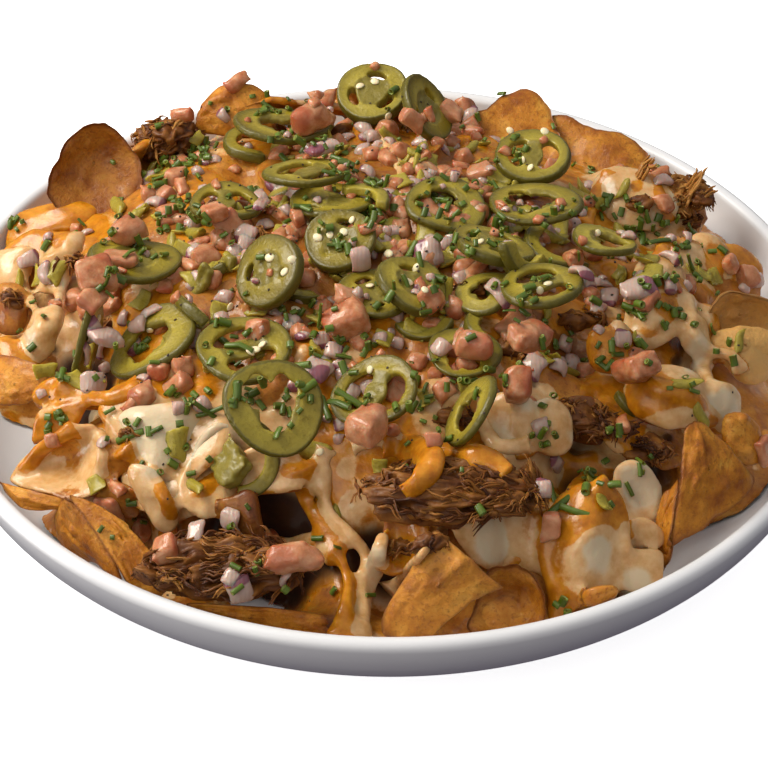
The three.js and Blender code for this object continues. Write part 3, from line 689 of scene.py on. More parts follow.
fried_corn, *marks = new_finish("fried_corn_dough", "edge", "blister", "tone")
fried, grain, patches = fried_colour(fried_corn, *marks)
oily = add(fried_corn, "MapRange", {0: patches, 1: 0.35, 2: 0.65, 3: 0.28, 4: 0.55}, **SOFT)
close(fried_corn, fried, oily, relief=grain, relief_mm=0.5, IOR=1.45, Subsurface_Weight=0.12,
      Subsurface_Scale=0.002, Coat_Weight=0.12, Coat_Roughness=0.2, Specular_IOR_Level=0.3)
bare_bodies = []
for index, (name, panels) in enumerate(BARE_CHIPS.items()):
    bare_bodies.append(in_bowl(joined([chip(**place, seed=index + 2) for place in panels])))
    serve(name + "_fried", bare_bodies[-1], fried_corn, "fried_corn_chip", name)

# %% [markdown]
# ## Sauce over chips
# Two sauces, an orange cheddar and a pale queso, were ladled over the heap and ran together. They
# bridge the narrow gaps between chips, round every edge and leave the wide hollows dark. The buried
# core and the coated chips are joined into one skin, which is swollen and shrunk again. A paint
# map would place the colours too, but round pools that are listed can be moved one by one.

# %% Pools, bare places and gaps
# Each: frame u, frame v, radius in pixels. Queso, cheddar and bare chip:
CREAM_POOLS = [
    (8, 262, 10), (62, 285, 12), (30, 345, 12), (75, 440, 30), (135, 415, 26), (150, 440, 26),
    (170, 430, 18), (160, 475, 14), (235, 432, 20), (175, 500, 10), (305, 410, 12), (430, 408, 14),
    (500, 430, 16), (525, 400, 14), (512, 455, 16), (495, 545, 14), (490, 515, 12), (600, 566, 18),
    (598, 545, 14), (562, 512, 10), (606, 188, 18), (590, 205, 10), (665, 200, 18), (650, 225, 12),
    (625, 240, 10), (612, 308, 10), (690, 262, 12), (553, 470, 14), (610, 455, 12), (640, 480, 16),
    (700, 345, 9), (708, 402, 11), (735, 365, 6), (390, 590, 12), (378, 560, 10), (350, 505, 8),
    (345, 470, 8), (462, 395, 10), (655, 430, 12), (575, 440, 12), (110, 475, 12), (10, 300, 8),
    (412, 160, 8), (376, 120, 6), (690, 365, 10), (545, 395, 8)]
ORANGE_POOLS = [
    (12, 238, 15), (40, 224, 16), (72, 212, 16), (92, 224, 12), (60, 240, 8), (120, 300, 10),
    (14, 290, 10), (25, 312, 10), (68, 392, 10), (95, 402, 12), (122, 396, 10), (165, 392, 9),
    (200, 392, 10), (172, 470, 10), (55, 425, 9), (100, 425, 8), (185, 500, 9), (400, 500, 14),
    (440, 462, 18), (465, 470, 12), (328, 545, 12), (345, 600, 10), (575, 485, 18), (610, 500, 14),
    (572, 535, 9), (585, 515, 12), (625, 525, 8), (596, 330, 10), (668, 305, 12), (672, 330, 10),
    (645, 345, 12), (662, 392, 22), (640, 405, 14), (636, 186, 8), (655, 180, 10), (600, 214, 8),
    (716, 258, 10), (706, 336, 8), (726, 345, 10), (394, 148, 8), (388, 130, 6), (470, 145, 12),
    (560, 455, 10), (300, 560, 9), (196, 526, 9), (520, 425, 8), (10, 345, 10), (86, 380, 8)]
BARE_PLACES = [
    (70, 262, 14), (25, 375, 26), (118, 455, 13), (35, 497, 20), (120, 545, 26), (260, 612, 30),
    (430, 590, 36), (520, 600, 26), (605, 592, 12), (700, 500, 30), (738, 430, 18), (735, 310, 22),
    (760, 330, 14), (20, 315, 9), (555, 130, 24), (600, 160, 14), (240, 95, 18), (455, 150, 12),
    (545, 420, 10), (565, 385, 14), (400, 470, 12), (690, 470, 20), (470, 560, 16), (90, 180, 34),
    (690, 310, 8), (510, 380, 8)]
# The core is 9 mm lower in the cavities and 7 mm lower in the gaps, where the sauce is also painted nearly
# black as shade.
CAVITIES = [
    (124, 494, 20), (275, 512, 30), (250, 500, 20), (376, 522, 16), (572, 425, 12), (650, 450, 18),
    (455, 622, 18), (310, 580, 14), (34, 300, 12), (62, 346, 12), (694, 325, 12), (716, 398, 8),
    (652, 354, 9), (700, 296, 8), (46, 372, 10), (600, 395, 10), (92, 545, 16), (560, 400, 12)]
# Gaps where the sauce is painted near black, as shade:
GAPS = [
    (684, 344, 9), (676, 362, 8), (698, 376, 8), (608, 420, 14), (584, 416, 14), (648, 450, 15),
    (30, 306, 8), (54, 350, 8), (572, 434, 8), (704, 368, 8), (556, 408, 8), (690, 300, 5), (84, 352, 6),
    (112, 470, 8), (668, 438, 7), (534, 384, 7), (500, 352, 6), (560, 322, 6), (618, 250, 5),
    (470, 430, 8)]
# The palest queso, on the chips that are dressed one by one:
WHITE_POOLS = [
    (600, 568, 22), (598, 545, 16), (190, 455, 14), (200, 440, 12), (722, 405, 12), (640, 490, 16),
    (490, 545, 14), (640, 580, 12)]


def pooled_at(points, pools):
    """From 0 to 1: how much of a pool each point lies in, as seen from the front."""
    shown = seen_at(points)
    total = np.zeros(len(points))
    for u, v, size in pools:
        total += np.exp(-((shown[:, 0] - u) ** 2 + (shown[:, 1] - v) ** 2) / (1.3 * size ** 2))
    return np.clip(total, 0, 1.2)


print(len(CREAM_POOLS), "pools of queso,", len(ORANGE_POOLS), "of cheddar,", len(GAPS), "gaps")

# %% [markdown]
# The core is a round sheet 13 mm thick that follows the heap a little below its surface. It sinks
# further where the heap has hollows, so that the chips over it stand clear of it.

# %% Core and coated chips
COATED_CHIPS = [
    dict(at=(-106, 22, 47), lean=24, toward=240, spin=25, across=54, bend=(-6, 2)),
    dict(at=(86, 56, 53), lean=22, toward=268, spin=15, across=48, bend=(-7, -2)),
    dict(at=(108, 18, 54), lean=38, toward=350, spin=50, across=50, bend=(4, -3)),
    dict(at=(6, 114, 52), lean=44, toward=80, spin=35, across=56, bend=(5, 3)),
    dict(at=(-40, 112, 52), lean=40, toward=112, spin=5, across=54, bend=(-7, 3)),
    dict(at=(-88, 88, 46), lean=50, toward=140, spin=20, across=48, bend=(6, 3)),
]
CORE_REACH = 137
CORE_INNER = 0.3
CORE_DEEP = 5.0
CORE_THICK = 13.0
CORE_TURNS, CORE_ROWS = 120, 46
CAVITY_DEEP, GAP_DEEP = 9, 7


def lower_at(x, y):
    """How far the sauce lies below the tops of the chips that stand at the two sides."""
    right_side = smoothstep(50, 72, x) * smoothstep(70, 40, y)
    left_side = smoothstep(-84, -98, x) * smoothstep(60, 30, y)
    return 6 * right_side + 5 * left_side


rings = np.linspace(CORE_INNER, CORE_REACH, CORE_ROWS)
core_x = np.outer(rings, np.cos(around(CORE_TURNS))).ravel()
core_y = np.outer(rings, np.sin(around(CORE_TURNS))).ravel()
core_z = heap_height(core_x, core_y)
core_reach = np.hypot(core_x, core_y)
flat = np.stack([core_x, core_y, 0 * core_x], 1)
near = np.stack([core_x, core_y, core_z - 4], 1)
core_top = (core_z + 0.6 * np.minimum(core_z - dome_height(core_x, core_y) + 4, 0)
            - 4 * smoothstep(-55, -95, core_y) - lower_at(core_x, core_y)
            - 2 - (CORE_DEEP - 2) * smoothstep(72, 104, core_reach)
            - CAVITY_DEEP * pooled_at(near, CAVITIES) * smoothstep(30, -10, core_y)
            - GAP_DEEP * pooled_at(near, GAPS) + 1.6 * noise(flat, 11, 2) + 0.8 * noise(flat, 5, 3))
core_top = np.maximum(core_top, 22 + (wall_height(core_reach) - 25) * smoothstep(96, 108, core_reach))
core_under = np.maximum(core_top - CORE_THICK, 6)
core_points = np.concatenate([np.stack([core_x, core_y, z], 1) for z in (core_top, core_under)])
coated = [(core_points, slab_faces(CORE_ROWS, CORE_TURNS), {})]
for index, place in enumerate(COATED_CHIPS):
    points, faces, _ = chip(**place, seed=index + 40, sides=44, rows=12, thick=2.8, blister=0.5)
    coated.append((points - [0, 0, lower_at(*place["at"][:2])], faces, {}))
print("the core is", round(core_top.max()), "mm tall and carries", len(coated) - 1, "coated chips")

# %% [markdown]
# Under the sauce more chips lie on each other like shingles, steeper toward the rim. Steps of a
# golden turn, 137.5 degrees, spread them evenly with no visible rows. None is put where a bare or
# coated chip already stands, or in a hollow.

# %% Buried chips between them
random = np.random.default_rng(7)
GOLDEN_TURN = 137.5
BURIED_CHIPS = 70
BURIED_REACH = 126
CLEAR_OF_CHIPS, CLEAR_OF_HOLLOWS = 23, 13
placed = np.array([place["at"][:2] for place in COATED_CHIPS + sum(BARE_CHIPS.values(), [])])
hollows = SWELLS[SWELLS[:, 2] < -9]
for index in range(BURIED_CHIPS):
    share = np.sqrt((index + 0.5) / BURIED_CHIPS)
    toward = index * GOLDEN_TURN + random.uniform(-14, 14)
    x, y = BURIED_REACH * share * np.array([np.cos(np.radians(toward)), np.sin(np.radians(toward))])
    crowded = np.hypot(*(placed - (x, y)).T).min() < CLEAR_OF_CHIPS
    in_hollow = np.hypot(hollows[:, 0] - x, hollows[:, 1] - y) < hollows[:, 3] + CLEAR_OF_HOLLOWS
    if crowded or y < -78 or in_hollow.any():
        continue
    lean = random.uniform(8, 20) + 22 * share ** 2
    size = random.uniform(34, 46)
    at = (x, y, heap_height(x, y) - 6 - lower_at(x, y))
    points, faces, _ = chip(at, lean, toward + random.uniform(-50, 50), random.uniform(0, 120), size,
                            tuple(random.uniform(-6, 6, 2)), seed=index + 90, sides=30, rows=8,
                            thick=3.0, blister=0.4)
    coated.append((points, faces, {}))
print(len(coated) - 1, "chips under the sauce")

# %% [markdown]
# A run or string of sauce is a tube that swells where it collects. Its path is given by where it is
# seen and how far it stands off the heap, so that it can hang across a hollow between two chips.

# %% Tubes
def curve_through(stops, steps):
    """A smooth path through a few stops (Catmull-Rom)."""
    stops = np.asarray(stops, float)
    padded = np.concatenate([2 * stops[:1] - stops[1:2], stops, 2 * stops[-1:] - stops[-2:-1]])
    place = np.linspace(0, len(stops) - 1 - 1e-6, steps)
    i = place.astype(int)
    t = (place - i)[:, None]
    p0, p1, p2, p3 = padded[i], padded[i + 1], padded[i + 2], padded[i + 3]
    return 0.5 * (2 * p1 + (p2 - p0) * t + (2 * p0 - 5 * p1 + 4 * p2 - p3) * t ** 2
                  + (3 * p1 - p0 - 3 * p2 + p3) * t ** 3)


def tube(path, radii, sides=8, flat=1.0, marks=None, facing=(0.05, 0.1, 1.0)):
    """A closed tube of changing radius; flat under 1 presses it level along the way it faces."""
    ahead = np.gradient(path, axis=0)
    ahead /= np.maximum(np.linalg.norm(ahead, axis=1), 1e-9)[:, None]
    across = np.cross(ahead, facing)
    across /= np.maximum(np.linalg.norm(across, axis=1), 1e-9)[:, None]
    over = np.cross(across, ahead)
    angle = around(sides)[None, :, None]
    radii = np.broadcast_to(radii, len(path))[:, None, None]
    section = np.cos(angle) * across[:, None] + flat * np.sin(angle) * over[:, None]
    points = (path[:, None] + radii * section).reshape(-1, 3)
    faces = np.concatenate([ring_faces(len(path), sides)[:, ::-1], cap(0, sides),
                            cap((len(path) - 1) * sides, sides, True)])
    return points, faces, marks or {}


path = curve_through([(0, 0, 0), (10, 4, 0), (20, 0, 0)], 12)
print("a string through three stops has", len(tube(path, 1.0)[0]), "points")

# %% [markdown]
# Food lands on food. Each body that is laid down joins a list of grounds, and a topping is placed
# where a line of sight, or a straight fall from above, first meets one of them. A physics run would
# settle them too, but it takes longer and moves the large pieces away from where they belong.

# %% Things to land on
FALL_FROM = 130
grounds = []


def lay_down(body):
    """From now on, toppings can land on this body."""
    grounds.append(BVHTree.FromPolygons(body[0].tolist(), body[1].tolist()))


def land(start, direction, on=None):
    """The first place that a straight fall or line of sight meets, and the way that it faces."""
    hits = [ground.ray_cast(Vector(start), Vector(direction)) for ground in on or grounds]
    hits = [hit for hit in hits if hit[0] is not None]
    if not hits:
        return None
    place, facing, _, _ = min(hits, key=lambda hit: hit[3])
    facing = np.array(facing)
    return np.array(place), facing if facing @ np.array(direction) < 0 else -facing


def in_sight(u, v, on=None):
    return land(eye, sight(u, v), on)


def from_above(x, y, on=None):
    return land((x, y, FALL_FROM), (0, 0, -1), on)


print("a line of sight through the middle of the frame runs along", sight(384, 384).round(2))

# %% [markdown]
# Thick sauce rounds every edge and fills each gap narrower than about 3 mm. To get this, the core
# and its chips become one skin, which is swollen by 1.3 mm, skinned once more and shrunk again.

# %% The skin of sauce
SAUCE_VOXELS = 1.5, 1.35
SAUCE_SWELL = 1.3
points, faces, _ = joined(coated)
points, faces = bridged(points, faces, SAUCE_VOXELS, SAUCE_SWELL, 2, SAUCE_SWELL - 0.2)
points = relaxed(points, faces, 1)
print("sauce skin:", len(points), "points")

# %% [markdown]
# Where does the sauce lie, and which of the two is it? Both follow the fall of the heap, so the
# random field that decides is stretched along the slope, which gives streaks that run outward and
# down. The pools and bare places are then added where they belong. Sauce adds 1 mm of thickness,
# with a rounded edge, and bare chip sinks a little and shows its blisters.

# %% Where the sauce lies
def wander(points):
    """Pushes that bend a pattern's straight lines, from -1 to 1 each way."""
    return np.stack([noise(points, 14, 1), noise(points, 14, 2), noise(points, 14, 3)], 1)


facing = normals_of(points, faces)
reach = np.hypot(points[:, 0], points[:, 1])
turn = np.arctan2(points[:, 1], points[:, 0])
warp = 5 * wander(points)
slope = np.stack([turn * 90 + warp[:, 0], (reach + points[:, 2]) * 0.42 + warp[:, 1], 0.3 * warp[:, 2]], 1)
streak = 0.7 * noise(slope, 12, 4) + 0.4 * noise(slope, 6, 5)
middle = smoothstep(100, 50, reach) * smoothstep(-60, -20, points[:, 1])
queso_pooled, cheddar_pooled = pooled_at(points, CREAM_POOLS), pooled_at(points, ORANGE_POOLS)
cream = 0.42 - 0.25 * middle + 0.55 * streak + 0.75 * (queso_pooled - cheddar_pooled)
cover = (0.62 - 0.5 * middle + 0.5 * noise(points + warp, 20, 6) + 0.3 * noise(slope, 9, 7)
         - 0.15 * smoothstep(95, 135, reach) + 0.5 * (queso_pooled + cheddar_pooled)
         - pooled_at(points, BARE_PLACES) - 0.6 * smoothstep(0.25, -0.5, facing[:, 2]))
thick = smoothstep(0.3, 0.65, cover)
uneven = 0.7 * noise(points, 6, 8) * (1.2 - thick) + 0.45 * noise(points, 3.2, 9) * (1.1 - thick)
lift = 1.3 * thick - 0.3 + uneven
points = relaxed(points + facing * lift[:, None], faces, 1)
behind_wall = points[:, 2] < wall_height(np.hypot(points[:, 0], points[:, 1])) + 0.2
points, faces, _ = in_bowl((points, faces, {}))
print("sauce covers", round(float((thick > 0.5).mean()) * 100), "% of the heap")

# %% [markdown]
# The slices press into the warm sauce. The solids of the frame say where their undersides are, so
# the skin is pressed down under each, and drawn up to meet it where it hangs just clear.

# %% Sauce fitted to the toppings
PRESS, REACH_UP = 0.3, 3.5
topping_nodes = [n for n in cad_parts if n.startswith(("jalapeno", "tomato", "onion"))]
pressed = 0
for name in topping_nodes:
    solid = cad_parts[name].data
    solid.calc_loop_triangles()
    corners = corners_of(name)
    tree = BVHTree.FromPolygons(corners.tolist(), [t.vertices[:] for t in solid.loop_triangles])
    low, high = corners.min(0), corners.max(0)
    near = np.all((points[:, :2] > low[:2] - 1) & (points[:, :2] < high[:2] + 1), axis=1)
    near &= (points[:, 2] > low[2] - 5) & (points[:, 2] < high[2] + 3) & (facing[:, 2] > 0.1)
    for index in np.nonzero(near)[0]:
        x, y, z = points[index]
        hit = tree.ray_cast(Vector((x, y, low[2] - 8)), Vector((0, 0, 1)))[0]
        if hit is None:
            continue
        gap = hit.z - z
        if gap < PRESS:
            points[index, 2] = hit.z - PRESS
            pressed += 1
        elif gap < REACH_UP:
            points[index, 2] = z + 0.6 * gap
print(pressed, "points of sauce pressed down by toppings")

# %% [markdown]
# Melted cheese sauce is an emulsion of fat in water. The eye gets an opaque, slightly waxy body with
# light scattered inside it, and broad wet highlights. Cheddar gives a deep orange, queso a warm
# cream. They meet in soft marbled edges a millimetre or two wide. Its IOR is about 1.45. The same
# finish shows fried chip where the sauce is thin, and a dull near black, painted in as shade, deep in
# the hollows and gaps.

# %% Cheese sauces over chips
sauce, creaminess, covering, deepness, *chip_marks = new_finish(
    "cheddar_and_queso", "cream", "cover", "deep", "edge", "blister", "tone")
fine = lumps(sauce, 5, 4)
ripple = lumps(sauce, 2.2, 3)
chip_colour, grain, patches = fried_colour(sauce, *chip_marks)
marbled = add(sauce, "Math", {0: fine, 1: 0.5, 2: creaminess}, operation="MULTIPLY_ADD")
cheddar = add(sauce, "ValToRGB", {"Fac": fine}, stops=[(0.3, "#9E5C0A"), (0.5, "#BC7612"), (0.7, "#D08C24")])
queso = add(sauce, "ValToRGB", {"Fac": fine}, stops=[(0.3, "#BE8E52"), (0.5, "#D0A46E"), (0.7, "#DCB888")])
queso = layered(sauce, queso, (marbled, 1.35, 1.75, 1, "#D2BE9C"))
sauces = layered(sauce, cheddar, (marbled, 0.67, 0.81, 1, queso))
covered = add(sauce, "Math", {0: ripple, 1: 0.3, 2: covering}, operation="MULTIPLY_ADD")
# Painted shade: a near black brown, laid where the depth mark is high.
hollow = add(sauce, "Mix", {0: patches, 6: "#180A04", 7: "#40220E"}, **MIX)
shown = layered(sauce, chip_colour, (covered, 0.5, 0.58, 1, sauces), (deepness, 0.35, 0.95, 1, hollow))
wet = add(sauce, "MapRange", {0: covered, 1: 0.5, 2: 0.62, 3: 0.5, 4: 0.27}, **SOFT)
dull = add(sauce, "MapRange", {0: deepness, 1: 0.35, 2: 0.95}, **SOFT)
rough = add(sauce, "Math", {0: wet, 1: dull}, operation="MAXIMUM")
under_sauce = add(sauce, "MapRange", {0: covered, 1: 0.5, 2: 0.58}, **SOFT)
relief = add(sauce, "Mix", {0: under_sauce, 6: grain, 7: ripple}, **MIX)
close(sauce, shown, rough, relief=relief, relief_mm=0.3, IOR=1.45, Subsurface_Weight=0.25,
      Subsurface_Scale=0.004, Coat_Weight=0.28, Coat_Roughness=0.08, Specular_IOR_Level=0.3)

# %% [markdown]
# Only the top of the skin is ever seen. Faces that lie deep under the core's own top, or behind the
# wall of the bowl, are left out.

# %% The sauce as a piece
# Painted shade: the depth mark turns the sauce a dull near black where its skin lies deep under the plain
# dome, and in the gaps.
deep = smoothstep(7, 20, dome_height(reach, 0) - points[:, 2]) * (1 - 0.75 * smoothstep(100, 114, reach))
deep = np.maximum(deep, 0.8 * smoothstep(0.1, 1.0, pooled_at(points, GAPS)))
ring = np.round((reach - CORE_INNER) / (CORE_REACH - CORE_INNER) * (CORE_ROWS - 1))
ring = np.clip(ring, 0, CORE_ROWS - 1).astype(int)
spoke = np.round(turn / (2 * np.pi) * CORE_TURNS).astype(int) % CORE_TURNS
buried = (points[:, 2] < core_top.reshape(CORE_ROWS, CORE_TURNS)[ring, spoke] - 5) & (reach < 130)
kept = faces[~(buried | behind_wall)[faces].all(axis=1)]
used, renumbered = np.unique(kept, return_inverse=True)
# The tone takes 0.4 of this painted shade too, so the bare chip darkens in the hollows.
marks = {"cream": cream, "cover": cover, "deep": deep, "tone": 0.25 + 0.4 * deep + 0.3 * middle}
coat = points[used], renumbered.reshape(kept.shape), {key: value[used] for key, value in marks.items()}
serve("cheese_over_chips", coat, sauce, "cheese_nachos", "nacho_pile")
lay_down(coat)

# %% [markdown]
# The chips that stand out of the sauce keep their crisp outlines, so they are not part of the skin.
# Each is drawn by sight, like a bare chip, and gets the same marks for sauce. They bridge the
# hollows of the heap, which stay dark under them. A cover under 0 means a bare chip, and the first
# number for sauce is then how dark it is fried; on the bare chips sunk low in the hollows this
# darkness is painted shade.

# %% Chips dressed with sauce
# Each: lean, toward, cream, cover, then three rows of frame u, frame v and height off its plane.
DRESSED_CHIPS = [
    (36, 290, -0.9, -0.6, [728, 344, 4, 748, 338, 5, 772, 342, 4, 726, 360, 3, 748, 360, 7, 776, 362, 3,
     732, 378, 1, 750, 386, 2, 770, 378, 1]),
    (40, 292, 1.0, 1.0, [676, 318, 4, 692, 312, 5, 706, 322, 4, 678, 338, 3, 694, 336, 5, 708, 342, 3,
     684, 356, 1, 698, 360, 2, 712, 356, 1]),
    (42, 240, 0.8, 0.5, [34, 450, 2, 66, 430, 4, 98, 421, 2, 16, 468, 0, 64, 464, -4, 103, 452, 1,
     3, 484, 2, 56, 500, 5, 99, 500, 3]),
    (44, 245, 0.35, 0.7, [38, 410, 3, 60, 403, 4, 92, 402, 2, 33, 430, 2, 58, 420, 2, 84, 418, 2,
     29, 450, 0, 50, 441, 1, 74, 436, 1]),
    (40, 258, 0.95, 1.0, [106, 414, 0, 162, 402, 2, 220, 402, -3, 134, 440, 2, 166, 442, 4, 212, 434, -8,
     146, 470, 1, 166, 486, 2, 177, 494, -5]),
    (50, 262, 0.85, 1.0, [127, 464, 2, 142, 464, 4, 160, 474, 2, 134, 492, 0, 150, 494, 4, 170, 500, 1,
     156, 524, -1, 166, 535, 0, 180, 524, -2]),
    (60, 262, 0.2, -0.6, [100, 442, 1, 116, 442, 2, 132, 448, 1, 102, 460, 1, 117, 461, 2, 132, 462, 1,
     104, 479, 0, 118, 478, 1, 131, 475, 0]),
    (45, 292, 0.95, 1.0, [216, 422, 0, 232, 430, -2, 248, 444, -4, 190, 458, -4, 212, 464, -8,
     242, 474, -6, 174, 494, 0, 202, 518, 3, 234, 510, 0]),
    (48, 275, 0.7, 0.62, [238, 450, -4, 268, 444, -3, 304, 450, -2, 238, 472, -6, 268, 468, -5,
     304, 474, -3, 244, 497, -4, 272, 495, -2, 308, 493, -1]),
    (48, 250, 0.1, 0.45, [384, 500, 0, 404, 506, -2, 432, 516, -2, 380, 532, -3, 400, 538, -6,
     428, 542, -2, 376, 572, 0, 394, 578, -2, 414, 566, -1]),
    (46, 285, 0.95, 1.0, [434, 493, 2, 462, 500, 3, 505, 510, -4, 446, 522, 1, 474, 532, 2, 505, 540, -5,
     466, 554, 0, 486, 572, 0, 505, 570, -5]),
    (46, 280, 0.7, 0.9, [498, 510, -4, 528, 506, -4, 556, 512, -2, 500, 540, -5, 528, 544, -5,
     552, 548, -2, 502, 572, -6, 530, 574, -5, 550, 582, -2]),
    (48, 268, 0.25, 1.0, [566, 488, -2, 594, 482, 2, 620, 488, -4, 544, 548, -5, 584, 545, 8,
     624, 545, -5, 546, 618, -4, 584, 611, 4, 624, 596, -6]),
    (50, 272, 0.2, -0.6, [582, 590, 4, 600, 584, 7, 618, 584, 4, 582, 600, 4, 600, 596, 7, 620, 595, 4,
     584, 609, 3, 602, 606, 5, 622, 602, 3]),
    (44, 280, 0.8, 1.0, [628, 521, 0, 645, 517, 2, 664, 530, 0, 626, 534, 0, 646, 534, 2, 666, 540, 0,
     624, 547, 0, 645, 550, 1, 664, 549, 0]),
    (46, 280, 1.0, 1.0, [620, 550, 0, 644, 549, 2, 666, 548, 0, 620, 568, 0, 642, 570, 2, 664, 568, 0,
     620, 591, -1, 642, 594, 0, 662, 587, -1]),
    (44, 285, 1.0, 0.9, [612, 470, -2, 634, 459, 0, 658, 476, -2, 612, 498, -2, 636, 496, -3,
     663, 505, -2, 618, 525, -2, 640, 529, -1, 658, 523, -2]),
    (48, 290, 1.1, 1.0, [704, 386, 0, 720, 380, 3, 738, 390, 0, 702, 408, 0, 721, 406, 5, 740, 408, 0,
     708, 432, -1, 722, 436, 1, 736, 428, -1]),
    (20, 285, 0.85, 1.0, [628, 378, 1, 664, 368, 4, 700, 378, 1, 626, 402, 2, 668, 396, 9, 708, 402, 2,
     640, 424, 0, 676, 430, 3, 702, 430, 0]),
    (14, 300, 0.85, 0.62, [636, 264, 2, 662, 254, 5, 684, 270, 1, 630, 300, 4, 656, 298, 11, 688, 302, 2,
     618, 338, 1, 644, 344, 4, 676, 332, 0]),
    (24, 262, 0.85, 0.95, [596, 178, 3, 636, 168, 6, 682, 194, 3, 588, 200, 3, 632, 200, 8, 676, 216, 3,
     586, 222, 2, 622, 230, 4, 662, 234, 2]),
    (30, 300, 0.7, 0.9, [690, 236, 2, 706, 232, 4, 724, 244, 2, 694, 262, 2, 712, 258, 6, 732, 264, 2,
     698, 286, 0, 718, 288, 2, 738, 284, 0]),
    (26, 290, 0.4, 0.3, [688, 300, 1, 700, 302, 3, 714, 306, 1, 684, 326, 0, 702, 330, 4, 722, 334, 0,
     688, 356, -1, 712, 364, 1, 734, 366, 0]),
    (34, 285, 0.2, 0.5, [592, 330, 1, 612, 326, 3, 634, 332, 1, 586, 350, 0, 610, 350, 5, 636, 352, 0,
     590, 372, -1, 612, 376, 1, 634, 374, 0]),
    (20, 240, 0.12, 1.0, [-10, 226, 4, 44, 207, 7, 102, 199, 4, -10, 244, 4, 42, 228, 9, 100, 216, 5,
     -10, 262, 2, 36, 244, 4, 92, 230, 3]),
    (30, 250, 0.95, 1.0, [40, 240, 5, 62, 234, 7, 88, 232, 4, 40, 262, 4, 60, 262, 9, 78, 258, 4,
     36, 292, 4, 52, 296, 7, 66, 290, 4]),
    (28, 245, 0.75, 0.9, [-10, 252, 4, 14, 248, 6, 34, 246, 3, -10, 272, 3, 12, 272, 7, 30, 268, 3,
     -10, 292, 2, 8, 294, 4, 24, 288, 3]),
    (36, 240, 0.35, -0.6, [-8, 286, 3, 10, 282, 5, 28, 290, 3, -8, 310, 3, 10, 308, 7, 28, 312, 3,
     -8, 334, 2, 8, 336, 3, 26, 336, 3]),
    (32, 248, 0.95, 1.0, [34, 318, 3, 48, 306, 5, 66, 310, 3, 22, 342, 3, 40, 336, 7, 58, 336, 3,
     6, 362, 2, 26, 366, 3, 52, 362, 3]),
    (30, 245, 0.3, 0.9, [-10, 340, 3, 8, 338, 5, 28, 348, 3, -10, 356, 3, 12, 358, 6, 36, 362, 3,
     -10, 372, 1, 14, 378, 3, 44, 384, 3]),
    (40, 255, 0.15, 0.7, [36, 388, 2, 70, 376, 4, 104, 384, 2, 34, 400, 2, 72, 394, 5, 106, 398, 2,
     40, 414, 0, 74, 412, 2, 108, 412, 0]),
    # These four bare chips lie low in the hollows, and their dark tone is painted shade.
    (46, 262, 0.8, -0.6, [232, 492, -6, 248, 488, -5, 260, 494, -6, 236, 516, -7, 250, 514, -4,
     262, 520, -7, 240, 540, -8, 254, 544, -7, 268, 546, -8]),
    (50, 285, 0.6, -0.6, [214, 500, -6, 236, 494, -5, 252, 500, -6, 220, 518, -8, 238, 516, -5,
     256, 520, -8, 226, 538, -9, 242, 538, -8, 260, 542, -9]),
    (52, 240, 0.5, -0.6, [98, 486, -4, 118, 482, -3, 138, 488, -4, 104, 500, -6, 120, 498, -3,
     140, 502, -6, 112, 514, -8, 126, 516, -8, 144, 518, -8]),
    (48, 280, 0.9, -0.6, [560, 398, -4, 582, 394, -3, 606, 402, -4, 562, 420, -5, 584, 420, -2,
     606, 424, -5, 566, 442, -6, 588, 446, -6, 606, 446, -6]),
    (38, 262, 0.9, 0.55, [482, 396, 0, 510, 390, 2, 532, 400, 0, 488, 426, 0, 514, 424, 3, 538, 428, -1,
     500, 452, -1, 520, 462, 0, 540, 454, -2]),
    (44, 275, 0.95, 0.8, [536, 402, -1, 550, 398, 1, 566, 408, -1, 534, 424, -1, 552, 424, 4, 570, 430, 0,
     536, 450, -2, 552, 458, 0, 570, 452, -2])]
dome = np.stack([core_x, core_y, dome_height(core_x, core_y)], 1)
MIDDLE_SPOT = slice(12, 14)
full_heap = BVHTree.FromPolygons(dome.tolist(), ring_faces(CORE_ROWS, CORE_TURNS).tolist())
dressed = []
for index, (lean, toward, creamy, covering, seen) in enumerate(DRESSED_CHIPS):
    at = full_heap.ray_cast(Vector(eye), Vector(sight(*seen[MIDDLE_SPOT])))[0]
    points, faces, marks = chip(at, lean, toward, seen=seen, seed=index + 70, rows=16, thick=2.4,
                                blister=0.9, square=6, tone=creamy if covering < 0 else 0.0)
    marks.update(creamy=creamy, covering=covering)
    dressed.append(in_bowl((points, faces, marks)))
    lay_down(dressed[-1])
print(len(dressed), "chips dressed one by one")

# %% [markdown]
# Runs of sauce go from chip to chip and tie them into one mass. A run is a tube through a few places
# of the frame. Each place says how thick the run is there and how far it stands off the food, so
# that it can sag across a gap between two chips.

# %% Runs of sauce that join the chips
def run_of_sauce(creamy, stops, flat=0.6):
    """A run along lines of sight, flattened on what it lies on; it widens where it meets food."""
    path, radii, facings = [], [], []
    for u, v, radius, lift in np.reshape(stops, (-1, 4)):
        met = in_sight(u, v)
        if met is not None:
            path.append(met[0] - sight(u, v) * lift)
            radii.append(radius)
            facings.append(met[1] * 0.6 - sight(u, v) * 0.4)
    steps = 12 * len(path)
    line = curve_through(path, steps)
    at, stop = np.linspace(0, 1, steps), np.linspace(0, 1, len(radii))
    thick = np.interp(at, stop, radii) * (1 + 0.2 * noise(line, 6, 2)) * (1 + 0.8 * np.abs(2 * at - 1) ** 6)
    facing = np.stack([np.interp(at, stop, axis) for axis in np.transpose(facings)], 1)
    marks = {"edge": 0.0, "blister": 0.0, "tone": 0.0, "creamy": creamy, "covering": 1.2}
    return tube(line, thick, 10, flat, marks, facing)


